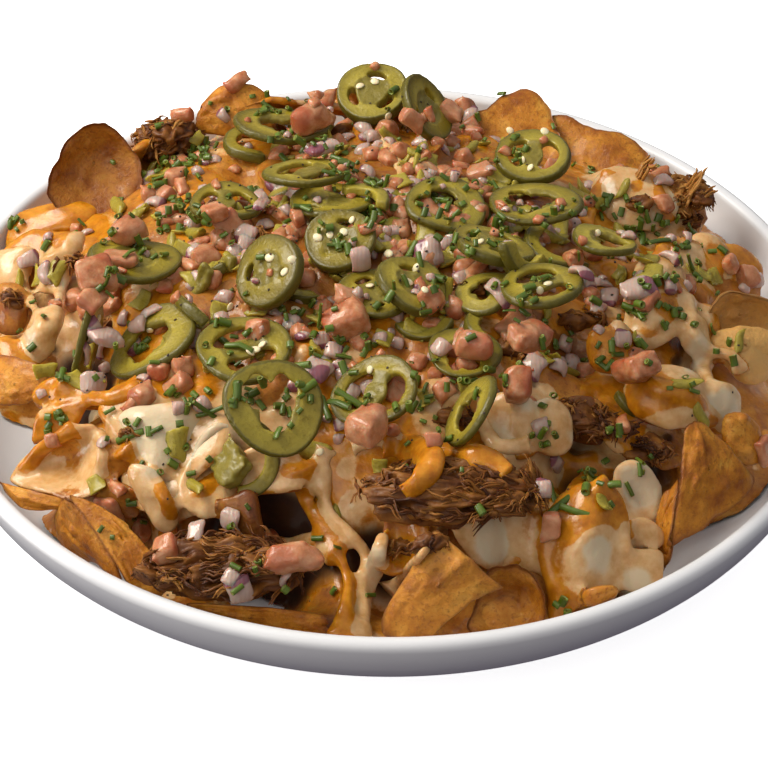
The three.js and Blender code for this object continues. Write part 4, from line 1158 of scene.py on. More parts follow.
# Each: cream from 0 (cheddar) to 1 (queso), then stops of frame u, frame v, radius, stand-off.
JOINED_RUNS = [
    (0.1, [298, 466, 2.6, 0, 304, 494, 2.2, 1, 318, 522, 2.0, 3, 336, 550, 1.9, 4, 348, 580, 1.9, 5,
     346, 608, 2.1, 5, 342, 640, 2.8, 2]),
    (0.95, [322, 470, 2.2, 0, 328, 510, 1.6, 2, 350, 535, 1.8, 4, 367, 556, 1.9, 5, 362, 582, 1.7, 5,
     364, 612, 1.7, 5, 358, 640, 2.4, 2]),
    (1.0, [384, 534, 1.2, 3, 379, 552, 2.8, 5, 375, 572, 2.6, 6, 368, 600, 1.5, 6, 362, 628, 1.7, 4]),
    (0.5, [282, 554, 3.4, 0, 300, 548, 4.2, 2, 320, 544, 3.4, 3, 336, 556, 2.4, 4]),
    (0.9, [326, 448, 3.0, 0, 318, 468, 2.8, 1, 322, 490, 2.2, 1]),
    (0.2, [60, 384, 2.4, 0, 82, 396, 2.6, 0.5, 110, 398, 2.6, 0.5, 140, 388, 2.2, 0]),
    (0.2, [74, 428, 2.2, 0, 58, 438, 2.0, 1, 38, 452, 2.0, 1, 26, 470, 2.0, 0]),
    (0.95, [96, 416, 2.4, 0.3, 104, 440, 2.2, 0.5, 101, 470, 2.4, 0.5, 96, 498, 2.6, 0]),
    (0.15, [124, 446, 2.2, 0.5, 140, 462, 2.2, 0.8, 160, 488, 2.2, 1, 170, 512, 2.0, 1, 167, 538, 2.0, 0]),
    (0.2, [176, 508, 2.0, 0.5, 196, 496, 2.4, 0.8, 218, 480, 2.2, 0.5, 240, 470, 2.0, 0]),
    (0.9, [180, 514, 1.6, 0.5, 202, 508, 1.8, 0.8, 224, 494, 1.6, 0.4]),
    (0.15, [592, 482, 3.0, 0.5, 560, 506, 2.8, 0.8, 549, 550, 2.8, 0.8, 554, 590, 2.4, 0.5,
     560, 618, 2.4, 0]),
    (0.15, [596, 484, 3.0, 0.5, 618, 506, 2.4, 0.8, 625, 540, 1.8, 0.5]),
    (0.9, [622, 520, 1.4, 0.4, 628, 556, 1.6, 0.5, 624, 594, 1.8, 0]),
    (0.9, [686, 296, 2.2, 0, 694, 330, 2.0, 1.5, 710, 350, 2.1, 2, 732, 356, 1.8, 2, 741, 372, 1.6, 1]),
    (0.85, [52, 256, 2.6, 0, 60, 292, 2.4, 1, 56, 322, 2.2, 1, 30, 340, 2.2, 0]),
    (0.9, [30, 250, 2.4, 0, 24, 285, 1.8, 2, 40, 320, 1.6, 2, 44, 352, 2.2, 0]),
    (0.2, [610, 172, 2.2, 0, 596, 196, 2.4, 0.5, 584, 226, 2.4, 0]),
    (0.2, [648, 172, 2.2, 0, 660, 196, 2.0, 0.5, 668, 222, 2.0, 0]),
    (0.95, [376, 112, 2.0, 0, 384, 140, 2.0, 0.5, 398, 165, 2.0, 0.5, 404, 190, 2.0, 0]),
    (0.15, [632, 370, 2.4, 0, 656, 386, 3.0, 0.5, 690, 398, 2.8, 0.5, 708, 422, 2.2, 0]),
    (0.9, [700, 368, 2.2, 0.3, 712, 388, 2.0, 0.5, 706, 420, 2.0, 0]),
    (0.9, [616, 330, 2.2, 0, 640, 344, 2.4, 0.6, 668, 334, 2.2, 0.6, 682, 312, 2.0, 0])]
for creamy, stops in JOINED_RUNS:
    dressed.append(run_of_sauce(creamy, stops))
print(len(JOINED_RUNS), "runs of sauce")

# %% [markdown]
# Chips and runs now get one finer skin, so that the sauce closes over the places where they touch.
# Each point of the skin takes the marks of the chip or run under it. Near a chip's rim the sauce
# thins out, and on its underside there is none.

# %% One skin over dressed chips
CRISP_VOXELS = 0.95, 0.95
bare_pieces = joined(dressed)
points, faces = bridged(*bare_pieces[:2], CRISP_VOXELS, 0.9, 1, 0.75)
marks = nearest_marks(points, bare_pieces)
creamy, covering = marks.pop("creamy"), marks.pop("covering")
facing = normals_of(points, faces)
is_chip = covering < 1.1
cream = (creamy + 0.3 * noise(points + 3 * wander(points), 9, 4)
         + 0.6 * pooled_at(points, CREAM_POOLS) * (creamy > 0.5)
         - 0.75 * pooled_at(points, ORANGE_POOLS) * is_chip + pooled_at(points, WHITE_POOLS))
cover = (covering + 0.35 * noise(points, 8, 5)
         - 0.45 * smoothstep(0.9, 1.0, marks["edge"]) * noise(points, 5, 3)
         - 0.9 * smoothstep(0.1, -0.3, facing[:, 2]) * is_chip)
shared = np.maximum(np.bincount(faces.ravel(), minlength=len(points)), 1)
for values in (cream, cover):
    for _ in range(3):
        around_it = np.bincount(faces.ravel(), np.repeat(values[faces].mean(1), 4), len(points)) / shared
        values += (around_it - values) * 0.7
thick = smoothstep(0.3, 0.65, cover)
points = points + facing * (0.7 * thick * (0.8 + 0.4 * noise(points, 7, 5)) - 0.3)[:, None]
marks.update(cream=cream, cover=cover, deep=0.0)
dressed_body = in_bowl((relaxed(points, faces, 1), faces, marks))
serve("dressed_chips", dressed_body, sauce, "cheese_nachos")
del grounds[1:]
for body in [dressed_body] + bare_bodies:
    lay_down(body)

# %% [markdown]
# ## Pulled pork
# Shoulder meat that was cooked until it falls apart is pulled into shreds: bundles of thin fibres, 1
# to 2 mm thick and 15 to 40 mm long, which lie mostly one way and curl at their ends. Each shred is a
# tube along a wavering path over the lump that the frame gives. Hair curves would look much alike,
# but tubes are real mesh and export.

# %% Shreds
FIBRES = 4


def shred(middle, heading, length, radius, random, droop=2.0, tone=0.5):
    """One wavering bundle of a few fibres that part at their ends."""
    steps = 7
    along = np.linspace(-0.5, 0.5, steps)
    side = np.cross(heading, [0, 0, 1.0])
    side /= max(np.linalg.norm(side), 1e-6)
    wave = np.cumsum(random.normal(0, 1, (steps, 2)), axis=0)
    wave -= wave.mean(0)
    bodies = []
    for _ in range(FIBRES):
        part = random.normal(0, 1, 2) * radius
        loose = np.outer(np.abs(2 * along) ** 2.5, random.normal(0, 0.5, 3))
        path = (np.array(middle) + np.outer(along * length * random.uniform(0.7, 1), heading)
                + np.outer(wave[:, 0] * 0.9 + part[0], side)
                + np.outer(wave[:, 1] * 0.5 + part[1] - droop * (2 * along) ** 2, [0, 0, 1]) + loose)
        taper = radius * 0.8 * (1 - 0.7 * np.abs(np.linspace(-1, 1, 10)) ** 3)
        taper = np.maximum(taper * (1 + 0.2 * random.normal(0, 1, 10)), 0.14)
        bodies.append(tube(curve_through(path, 10), taper, 4, marks={"tone": tone + random.normal(0, 0.12)}))
    return joined(bodies)


def shredded_lump(at, size, shreds, seed, toward, turns=110, rises=60, light=0.0):
    """Shreds over a matted lump of meat, whose own fibres run the same way."""
    random = np.random.default_rng(seed)
    round_ball = ball(turns, rises)
    lump = round_ball * np.array(size) * (0.84 + 0.14 * noise(round_ball * [3, 6, 6], 1.2, seed))[:, None]
    way = np.radians(toward)
    along = lump[:, 0] * np.cos(way) + lump[:, 1] * np.sin(way)
    sideways = lump[:, 1] * np.cos(way) - lump[:, 0] * np.sin(way)
    swirl = 2.5 * noise(lump, 9, seed + 2)
    grain = np.stack([along / 7, (sideways + swirl) / 1.3, (lump[:, 2] + swirl) / 1.3], 1)
    fibres = noise(grain, 1, seed) + 0.6 * noise(grain * [1, 2, 2], 1, seed + 1)
    lump = lump + round_ball * (1.1 * fibres + 1.8 * noise(lump, 5, seed + 4))[:, None]
    bodies = [(lump + at, ring_faces(rises, turns), {"tone": np.clip(0.35 + light + 0.35 * fibres, 0, 1)})]
    long = 0.25 + 0.75 * size[0] / 26
    for _ in range(shreds):
        lean = random.normal(size=3)
        lean[2] = abs(lean[2]) * 0.9
        lean /= np.linalg.norm(lean)
        middle = np.array(at) + lean * np.array(size) * random.uniform(0.8, 0.96)
        yaw = np.radians(toward + random.normal(0, 24))
        heading = np.array([np.cos(yaw), np.sin(yaw), random.normal(0, 0.1)])
        heading -= lean * (heading @ lean) * 0.97
        heading /= np.linalg.norm(heading)
        bodies.append(shred(middle, heading, random.uniform(6, 17) * long, random.uniform(0.25, 0.6), random,
                            random.uniform(0.4, 1.8), light + random.uniform(0, 0.9)))
    return joined(bodies)


# %% [markdown]
# Braised pork is a warm brown, nearly black where it caught and caramel where sauce soaked in. Fat
# and juice keep it wet, so each fibre has a small highlight.

# %% Braised pork
PORK_HEAPS = {
    "pulled_pork_front_left": dict(at=(-44, -116, 46), size=(26, 12, 9), shreds=70, seed=11, toward=8),
    "pulled_pork_front": dict(at=(20, -98, 60), size=(29, 12, 9), shreds=90, seed=12, toward=170),
    "pulled_pork_back_right": dict(at=(98, 62, 54), size=(14, 10, 7), shreds=60, seed=14, toward=40,
                                   light=0.4),
    "pulled_pork_back_left": dict(at=(-77, 84, 57), size=(13, 10, 9), shreds=40, seed=16, toward=80),
}
pork, tone = new_finish("braised_pork", "tone")
shade = add(pork, "Math", {0: tone, 1: lumps(pork, 6, 4)}, operation="ADD")
half_shade = add(pork, "Math", {0: shade, 1: 0.5}, operation="MULTIPLY")
meat = add(pork, "ValToRGB", {"Fac": half_shade}, stops=[
    (0.2, "#381A08"), (0.38, "#5E3413"), (0.55, "#80501F"), (0.7, "#9E6A2C"), (0.85, "#B88446")])
close(pork, meat, 0.45, relief=lumps(pork, 0.8, 2), relief_mm=0.2, IOR=1.42, Subsurface_Weight=0.1,
      Subsurface_Scale=0.002, Coat_Weight=0.1, Coat_Roughness=0.25, Specular_IOR_Level=0.25)
for name, place in PORK_HEAPS.items():
    body = in_bowl(shredded_lump(**place))
    serve(name + "_shreds", body, pork, "pulled_pork", name)
    lay_down(body)

# %% [markdown]
# Small tufts of pork fell between the chips and slices. Each is a small flat lump with a few shreds,
# laid where it is seen. A few single shreds stand up like whiskers at the back of the heap.

# %% Loose shreds in the gaps
random = np.random.default_rng(31)
# Each: frame u, frame v, half length, half width, number of shreds.
LOOSE_PORK = [
    (75, 262, 7, 4, 12), (13, 300, 4, 3, 6), (580, 318, 8, 4, 14), (572, 414, 11, 6, 22),
    (640, 448, 11, 6, 20), (640, 205, 4, 3, 6), (345, 135, 5, 3, 6), (404, 548, 6, 4, 8),
    (455, 420, 7, 3, 8), (130, 437, 3, 1, 3), (604, 426, 10, 5, 16), (412, 130, 4, 3, 5),
    (700, 200, 4, 3, 10), (650, 160, 4, 3, 5), (690, 222, 5, 3, 6), (172, 135, 7, 5, 8),
    (110, 330, 4, 2, 5), (510, 350, 8, 4, 10), (430, 545, 5, 3, 6), (500, 500, 8, 5, 10),
    (260, 560, 9, 5, 12), (150, 575, 6, 4, 8), (420, 300, 5, 3, 6), (250, 235, 6, 3, 8),
    (470, 290, 5, 3, 6)]
# Each: frame u, frame v, how steeply it rises.
WHISKERS = [(636, 176, 0.9), (642, 178, 1.2), (690, 194, 0.8), (694, 204, 0.5), (686, 188, 1.0),
            (172, 130, 0.7)]
loose = []
for index, (u, v, half_long, half_wide, number) in enumerate(LOOSE_PORK):
    met = in_sight(u, v)
    if met is not None:
        place, size = met[0] + met[1] * 0.4, (half_long, half_wide, 2.4)
        loose.append(shredded_lump(place, size, number, index + 60, random.uniform(0, 180), 34, 20))
for u, v, rise in WHISKERS:
    met = in_sight(u, v)
    if met is not None:
        heading = np.array([0.5, 0.1, rise]) / np.linalg.norm([0.5, 0.1, rise])
        loose.append(shred(met[0] + heading * 3, heading, 14, 0.7, random, 0.4, 1.1))
loose_pork = in_bowl(joined(loose))
serve("pulled_pork_loose", loose_pork, pork, "pulled_pork")
lay_down(loose_pork)

# %% [markdown]
# ## Strings of sauce
# Where the sauce fell off the ladle it lies in strings over pork and chips. They are made like the
# runs, but over everything that lies in the bowl so far, and the first keeps a rounder section.

# %% Strings of sauce
# Each: cream from 0 (cheddar) to 1 (queso), then stops of frame u, frame v, radius, stand-off.
SAUCE_STRINGS = [
    (1.0, [443, 531, 1.2, 0.6, 424, 552, 1.5, 0.9, 408, 570, 1.8, 0.9, 396, 583, 1.7, 0.9,
     388, 592, 2.3, 1.0]),
    (0.15, [384, 444, 3.0, 0, 408, 448, 4.6, 0.4, 430, 462, 5.0, 0.6, 420, 482, 3.2, 0.4, 404, 494, 1.8, 0]),
    (0.1, [446, 448, 3.0, 0.2, 468, 456, 4.2, 0.4, 492, 462, 3.8, 0.4, 508, 474, 2.0, 0]),
    (1.0, [486, 396, 2.4, 0.2, 484, 422, 2.4, 0.4, 498, 446, 2.6, 0.4, 530, 444, 2.0, 0]),
    (0.95, [352, 448, 1.8, 0.3, 372, 442, 2.0, 0.4, 400, 436, 1.8, 0.3])]
FLAT, ROUNDER = 0.55, 0.9
strings = []
for creamy, stops in SAUCE_STRINGS:
    strings.append(run_of_sauce(creamy, stops, FLAT if strings else ROUNDER))
strings = joined(strings)
points, faces = reskinned(plain_mesh(*strings[:2]), 0.8)
points = relaxed(points, faces, 3)
marks = {"cream": nearest_marks(points, strings)["creamy"], "cover": 1.2, "deep": 0.0}
string_body = in_bowl((points, faces, marks))
serve("sauce_strings", string_body, sauce, "cheese_nachos")
lay_down(string_body)
under_slices = list(grounds)

# %% [markdown]
# ## Pickled jalapeno slices
# A slice is a ring of thick flesh inside a dark skin. Ribs divide it into seed chambers round a pale
# spongy middle, and in many slices the middle has fallen out. We draw the outline and its
# chambers as flat curves, let Blender fill and round them, reskin the result, and then push the
# cut faces in a little between skin and middle. Each slice lies exactly where its solid lies.

# %% Outline and chambers of a slice
SLICE_VOXEL = 0.78
CHAMBERS = {
    "three": [(14, 74, 0.45, 0.68), (134, 200, 0.45, 0.68), (254, 316, 0.45, 0.68)],
    "two": [(20, 150, 0.28, 0.7), (200, 330, 0.28, 0.7)],
    "full": [(30, 84, 0.44, 0.66), (196, 232, 0.5, 0.64)],
    "open": [],
}


def squared(value, power=0.62):
    return np.sign(value) * np.abs(value) ** power


def open_middle(radius, oval, angle, seed):
    """The ragged hole of a slice whose middle fell out, with the stubs of three ribs."""
    at = on_circle(angle)
    hole = radius * 0.53 * (1 + 0.1 * np.cos(3 * angle + seed) + 0.2 * noise(at, 0.3, seed)
                            + 0.1 * noise(at, 0.13, seed + 1))
    ribs = [(0.6 + seed, 0.5, 0.03), (2.9 + seed, 0.34, 0.05), (4.7 + seed, 0.22, 0.1)]
    off = [(angle - rib + np.pi) % (2 * np.pi) - np.pi for rib, _, _ in ribs]
    stub = sum(long * np.exp(-away ** 2 / wide) for away, (_, long, wide) in zip(off, ribs))
    hole = hole * (1 - 0.7 * stub)
    aside = radius * 0.16 * np.array([np.cos(seed * 5), np.sin(seed * 5)])
    return np.stack([hole * np.cos(angle) + aside[0], (hole * np.sin(angle) + aside[1]) * oval], 1)


def slice_outlines(radius, kind, oval, seed):
    """The outer edge of a slice, then the edge of each hole."""
    angle = around(72)
    ring = radius * (1 + 0.03 * np.cos(3 * angle))
    outlines = [np.stack([ring * np.cos(angle), ring * oval * np.sin(angle)], 1)]
    if kind == "open":
        outlines.append(open_middle(radius, oval, angle, seed))
    for start, stop, inner, outer in CHAMBERS[kind]:
        t = around(40)
        way = np.radians((start + stop) / 2 + (stop - start) / 2 * squared(np.cos(t)))
        out = radius * ((inner + outer) / 2 + (outer - inner) / 2 * squared(np.sin(t)))
        out = out * (1 + 0.05 * noise(on_circle(t), 0.4, seed + start))
        outlines.append(np.stack([out * np.cos(way), out * min(oval, 1) * np.sin(way)], 1))
    return outlines


print("a slice with two chambers has", len(slice_outlines(14, "two", 1, 1.0)), "outlines")

# %% Cutting a slice
def cut_slice(radius, thick, kind, oval=1.0, seed=1.0, outlines=None):
    """A slice about its own middle, flat in x and y, with marks for skin and pale flesh."""
    rim = 0.45
    drawing = bpy.data.curves.new("outline", "CURVE")
    drawing.dimensions = "2D"
    drawing.fill_mode = "BOTH"
    drawing.extrude = thick / 2 - rim
    drawing.bevel_depth = rim
    drawing.bevel_resolution = 2
    drawing.offset = -rim
    for outline in outlines or slice_outlines(radius, kind, oval, seed):
        line = drawing.splines.new("POLY")
        line.points.add(len(outline) - 1)
        line.points.foreach_set("co", np.pad(outline, ((0, 0), (0, 2))).ravel())
        line.use_cyclic_u = True
    holder = bpy.data.objects.new("outline", drawing)
    filled = bpy.data.meshes.new_from_object(holder)
    bpy.data.objects.remove(holder)
    points, faces = reskinned(filled, SLICE_VOXEL)
    points = relaxed(points, faces, 2)
    angle = np.arctan2(points[:, 1] / oval, points[:, 0])
    out = np.hypot(points[:, 0], points[:, 1] / oval) / (radius * (1 + 0.03 * np.cos(3 * angle)))
    face = smoothstep(0.55, 0.9, np.abs(points[:, 2]) / (thick / 2))
    dip = smoothstep(0.97, 0.86, out) * smoothstep(0.5, 0.72, out)
    points[:, 2] -= np.sign(points[:, 2]) * face * (0.35 * dip + 0.5 * smoothstep(0.55, 0.35, out))
    spongy = smoothstep(0.62, 0.42, out)
    spots = noise(points + seed * 31, 1.6, seed)
    points[:, 2] += np.sign(points[:, 2]) * face * spongy * 0.5 * spots + 0.12 * noise(points, 4, seed)
    points[:, 2] += 0.9 * np.sin(points[:, 0] / radius * 1.6 + seed)
    points[:, 2] += 0.7 * np.sin(points[:, 1] / radius * 1.9 + 2 * seed)
    points[:, :2] *= (0.98 + 0.05 * noise(on_circle(angle), 0.9, seed + 3))[:, None]
    points[:, :2] *= (1 + 0.02 * (1 - (2 * points[:, 2:] / thick) ** 2))
    return points, faces, {"out": out, "spongy": np.clip(spongy + 0.25 * spots * spongy, 0, 1)}


whole = cut_slice(14, 4, "full", seed=1.0)
print("one slice has", len(whole[0]), "points")

# %% [markdown]
# The axis of a slice's solid is the direction in which its corners spread least. Its middle, radius
# and thickness follow from the same corners, so the finished slice lies where the solid lies. It is
# made thinner on its upper side only, because real slices are 2 to 3 mm thick.

# %% Every slice, where its solid lies
# Per slice: lean, toward, spin, kind, oval, paleness (under 0 is darker).
SLICES = {
    "01": (12, 86, 10, "open", 1, 0.3), "02": (14, 188, 40, "open", 1, 0.6),
    "03": (4, 300, 70, "full", 1, 0.1), "04": (13, 110, 15, "full", 1, 0.2),
    "05": (78, 182, 0, "open", 1, 0.5), "06": (20, 40, 30, "full", 0.8, 0.2),
    "07": (16, 52, 100, "two", 1, 0.2), "08": (12, 50, 20, "open", 0.82, 0.2),
    "09": (62, 355, 30, "full", 1, 0.0), "10": (15, 104, 60, "two", 1, 0.6),
    "11": (15, 340, 80, "open", 1, 0.5), "12": (6, 37, 120, "three", 1, 0.5),
    "13": (14, 134, 25, "two", 1, 0.4), "14": (22, 31, 45, "open", 1, 1.0),
    "15": (16, 224, 10, "full", 1, -0.3), "16": (10, 330, 50, "full", 1, 0.5),
    "17": (38, 207, 90, "open", 1, 0.3), "18": (16, 290, 35, "two", 1, 0.4),
    "19": (18, 205, 75, "two", 1, 0.0), "20": (14, 33, 15, "open", 1, 0.4),
    "21": (16, 320, 55, "open", 1, 1.0), "22": (60, 160, 0, "open", 1, 0.5),
    "23": (46, 214, 110, "full", 0.9, -0.45), "24": (20, 262, 85, "two", 1, 0.6),
    "25": (14, 250, 30, "three", 1, 1.0)}


def lie_of(name, lean, toward, spin):
    """Middle, axes, radius and thickness of a slice's solid."""
    corners = np.unique(np.round(corners_of(name), 4), axis=0)
    spread = corners - corners.mean(0)
    guess = turned(lean, toward, spin)
    axis = np.linalg.svd(spread, full_matrices=False)[2][2]
    axis = axis * np.sign(axis @ guess[:, 2])
    flat = spread - np.outer(spread @ axis, axis)
    out = np.linalg.norm(flat, axis=1)
    middle = corners[out > 0.72 * out.max()].mean(0)
    flat = corners - middle - np.outer((corners - middle) @ axis, axis)
    first = guess[:, 0] - axis * (guess[:, 0] @ axis)
    first /= np.linalg.norm(first)
    thick = 2 * np.abs((corners - middle) @ axis).max()
    radius = np.linalg.norm(flat, axis=1).max() / 1.03
    return middle, np.stack([first, np.cross(axis, first), axis], 1), radius, thick


print("slice 01 is", round(2 * lie_of("jalapeno_slice_01", 12, 86, 10)[2], 1), "mm across")

# %% [markdown]
# Pickling turns the green of a jalapeno to olive. The skin stays dark and shiny, the flesh under it
# is a translucent yellow green, paler toward the seeds, and the spongy middle is darker and
# mottled. Brine keeps every face wet. Its IOR is near that of water, about 1.4.

# %% Pickled jalapeno
SLICE_THIN = 0.62
pepper, outward, spongy, tone = new_finish("pickled_jalapeno", "out", "spongy", "tone")
mottle = lumps(pepper, 3.5, 4)
wobble = add(pepper, "Math", {0: mottle, 1: 0.08, 2: outward}, operation="MULTIPLY_ADD")
flesh = add(pepper, "ValToRGB", {"Fac": wobble}, stops=[
    (0.5, "#A6943A"), (0.72, "#978628"), (0.86, "#84741F"), (0.955, "#6C601C"), (0.985, "#564D16"),
    (1.0, "#4E4713")])
core_colour = add(pepper, "Mix", {0: mottle, 6: "#70651F", 7: "#8C7E38"}, **MIX)
spots = lumps(pepper, 1.4, 4, 0.65)
pickled = layered(pepper, flesh, (tone, 0, 1, 0.5, "#A89A40"), (spots, 0.5, 0.72, 0.5, "#6A5E1A"),
                  (wobble, 0.965, 1.0, 1, "#5C5418"), (spongy, 0.25, 0.75, 1, core_colour),
                  (tone, 0, -1, 0.9, "#5A4C0C"))
close(pepper, pickled, 0.32, relief=lumps(pepper, 1.4, 4), relief_mm=0.35, IOR=1.4, Subsurface_Weight=0.5,
      Subsurface_Scale=0.004, Subsurface_Radius=(0.9, 0.8, 0.25), Specular_IOR_Level=0.35,
      Coat_Weight=0.15, Coat_Roughness=0.12)
for number, (lean, toward, spin, kind, oval, pale) in SLICES.items():
    name = "jalapeno_slice_" + number
    middle, axes, radius, thick = lie_of(name, lean, toward, spin)
    middle = middle - axes[:, 2] * (1 - SLICE_THIN) / 2 * thick
    points, faces, marks = cut_slice(radius, thick * SLICE_THIN, kind, oval, seed=int(number) * 0.61)
    body = (points @ axes.T + middle, faces, marks | {"tone": pale})
    serve("pepper_" + number, body, pepper, "pickled_jalapeno", name)
    lay_down(body)

# %% [markdown]
# Broken slices and strips lie between the whole ones. Each is an arc of a ring: the same outline,
# drawn only part of the way round, and laid on whatever the line of sight meets first.

# %% Broken slices
def arc_outline(radius, start, stop, inner):
    way = np.radians(np.linspace(start, stop, 24))
    outer = np.stack([np.cos(way), np.sin(way)], 1) * radius
    return np.concatenate([outer, outer[::-1] * inner])


def axes_on(facing, spin, tilt=0.0):
    """Axes whose third leans tilt degrees off the way that a surface faces."""
    first = np.cross(facing, [np.cos(spin), np.sin(spin), 0.1])
    first /= np.linalg.norm(first)
    axes = np.stack([first, np.cross(facing, first), facing], 1)
    return axes @ np.array(Matrix.Rotation(np.radians(tilt), 3, "X"))


# Each: frame u, frame v, radius, thickness, arc from, to, inner share, spin, tilt.
PEPPER_BITS = [
    (548, 252, 13, 4, 0, 200, 0.62, 0.4, 10), (520, 262, 12, 4, 20, 160, 0.6, 2.0, 14),
    (190, 312, 12, 4, 0, 95, 0.45, 1.0, 12), (214, 272, 12, 4, 10, 70, 0.4, 2.2, 25),
    (402, 196, 9, 3, 0, 80, 0.1, 0.3, 20), (262, 462, 13, 4, 180, 330, 0.66, 0.0, 8),
    (625, 405, 6, 4, 0, 130, 0.2, 1.1, 10), (320, 316, 6, 3, 0, 70, 0.1, 0.8, 15),
    (300, 188, 12, 4, 0, 150, 0.6, 2.6, 12), (370, 200, 12, 4, 200, 330, 0.62, 0.9, 8),
    (475, 330, 10, 4, 0, 120, 0.55, 0.6, 12), (240, 150, 11, 4, 30, 190, 0.6, 0.2, 14),
    (425, 330, 10, 4, 30, 170, 0.6, 1.4, 20), (300, 296, 8, 4, 0, 110, 0.3, 1.9, 12)]
SINK = 1.2
bits = []
for index, (u, v, radius, thick, start, stop, inner, spin, tilt) in enumerate(PEPPER_BITS):
    place, facing = in_sight(u, v)
    points, faces, marks = cut_slice(radius, thick, "open", seed=index * 0.9,
                                     outlines=[arc_outline(radius, start, stop, inner)])
    points = points - [points[:, 0].mean(), points[:, 1].mean(), 0]
    points = points @ axes_on(facing, spin, tilt).T + place + facing * (thick / 2 - SINK)
    bits.append((points, faces, marks | {"tone": 0.7}))
    lay_down(bits[-1])
print(len(bits), "broken slices")

# %% [markdown]
# ## Diced tomato
# Ripe tomato cut by knife into cubes of 7 to 12 mm. Each has flat faces, softened edges and, on one
# side, the skin. The ten largest follow their solids, and the rest are copies of a few
# different dice, turned and scaled so that no two look alike.

# %% Knife-cut dice
def softened(points, faces, rounds):
    """Rounds a body's edges but keeps most of its length, width and height."""
    low, tall = points.min(0), np.ptp(points, axis=0)
    points = relaxed(points, faces, rounds)
    share = (points - points.min(0)) / np.ptp(points, axis=0)
    return low + tall * (0.03 + 0.94 * share)


def knife_cut(size, seed, bend=0.0, voxel=0.95):
    """A block whose eight corners stray, with softened edges."""
    random = np.random.default_rng(seed)
    corners = np.array(list(itertools.product((-0.5, 0.5), repeat=3))) * size
    corners = corners + random.uniform(-0.14, 0.14, (8, 3)) * size
    sides = np.array([[0, 1, 3, 2], [4, 6, 7, 5], [0, 4, 5, 1], [2, 3, 7, 6], [0, 2, 6, 4], [1, 5, 7, 3]])
    points, faces = reskinned(plain_mesh(corners, sides), voxel)
    points = softened(points, faces, 12)
    share = points / (np.array(size) / 2)
    points[:, 2] += bend * (share[:, 0] ** 2 - 0.3)
    points += normals_of(points, faces) * (0.5 * noise(points, 3, seed))[:, None]
    return points, faces, {"skin": smoothstep(0.55, 0.95, share[:, 0]), "tone": random.uniform(0, 1)}


print("a diced block has", len(knife_cut((9, 8, 7), 0)[0]), "points")

# %% [markdown]
# The frame's own dice lie where a thicker sauce would hold them. Ours is thinner in places, so each
# of them is lowered until it rests. Small dice and crumbs are strewn: a place of the frame gives a
# line of sight, and a place in the bowl gives a fall from above.

# %% Setting down and strewing
LOWEST_FOOD = 25


def set_down(body):
    """Lowers a body by up to 6 mm, until it rests on the food under it."""
    points, faces, marks = body
    lower = points[normals_of(points, faces)[:, 2] < -0.3][::7]
    falls = [land(point, (0, 0, -1)) for point in lower]
    drops = [point[2] - met[0][2] for point, met in zip(lower, falls) if met is not None]
    return points - [0, 0, min(min(drops, default=0) + 0.5, 6)], faces, marks


def from_solid(name, seed, voxel):
    """The same softening for a block that the frame holds."""
    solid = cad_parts[name].data
    points, faces = reskinned(plain_mesh(corners_of(name), [p.vertices[:] for p in solid.polygons]), voxel)
    points = softened(points, faces, 60)
    foot = np.array([*points.mean(0)[:2], points[:, 2].min() - 0.6])
    points = foot + (points - foot) * 0.9
    worn = 0.6 * noise(points, 4.5, seed) + 0.25 * noise(points, 1.8, seed)
    points += normals_of(points, faces) * worn[:, None]
    share = (points - points.mean(0)) / np.ptp(points, axis=0) * 2
    way = np.array([np.cos(seed), np.sin(seed), 0.6])
    return points, faces, {"skin": smoothstep(0.5, 0.95, share @ way), "tone": (seed * 0.37) % 1}


def large_dice(kind, count, seed, voxel, finish, slot):
    """All the dice of one kind that the frame holds, set down one after another."""
    for index in range(1, count + 1):
        name = f"{kind}_dice_{index:02d}"
        body = set_down(from_solid(name, index + seed, voxel))
        serve(f"{kind}_{index:02d}", body, finish, slot, name)
        lay_down(body)


def strewn(shapes, spots, sink, seed, scale=(0.85, 1.15), on=None, meet=in_sight):
    """Copies of a few shapes, each laid where it meets food: in a line of sight, or from above."""
    random = np.random.default_rng(seed)
    laid = []
    for index, spot in enumerate(spots):
        points, faces, marks = shapes[index % len(shapes)]
        met = meet(*spot, on)
        if met is None or met[0][2] < LOWEST_FOOD:
            continue
        size = random.uniform(*scale)
        facing = met[1] + random.normal(0, 0.22, 3)
        axes = axes_on(facing / np.linalg.norm(facing), random.uniform(0, 6.3))
        high = np.ptp(points[:, 2]) * size
        laid.append((points * size @ axes.T + met[0] + met[1] * high * (0.5 - sink), faces, marks))
        lay_down(laid[-1])
    print(len(laid), "small pieces laid")
    return joined(laid)


# %% [markdown]
# Tomato flesh is wet and lets light in: a soft salmon red, deeper at the skin, paler where the wall
# of the fruit was cut. It takes IOR 1.38, near water, and a thin sharp coat for the juice.

# %% Tomato
tomato, skin, tone = new_finish("tomato_flesh", "skin", "tone")
pulp = add(tomato, "ValToRGB", {"Fac": lumps(tomato, 3, 4)}, stops=[
    (0.32, "#A05E34"), (0.5, "#B87850"), (0.68, "#C89670")])
ripe = layered(tomato, pulp, (skin, 0, 1, 0.7, "#A04A28"), (tone, 0.3, 1, 0.35, "#BC8A68"))
close(tomato, ripe, 0.3, relief=lumps(tomato, 0.9, 3), relief_mm=0.2, IOR=1.38, Subsurface_Weight=0.5,
      Subsurface_Scale=0.003, Coat_Weight=0.25, Coat_Roughness=0.12)
under_dice = list(grounds)
large_dice("tomato", 10, 0, 0.9, tomato, "tomato")
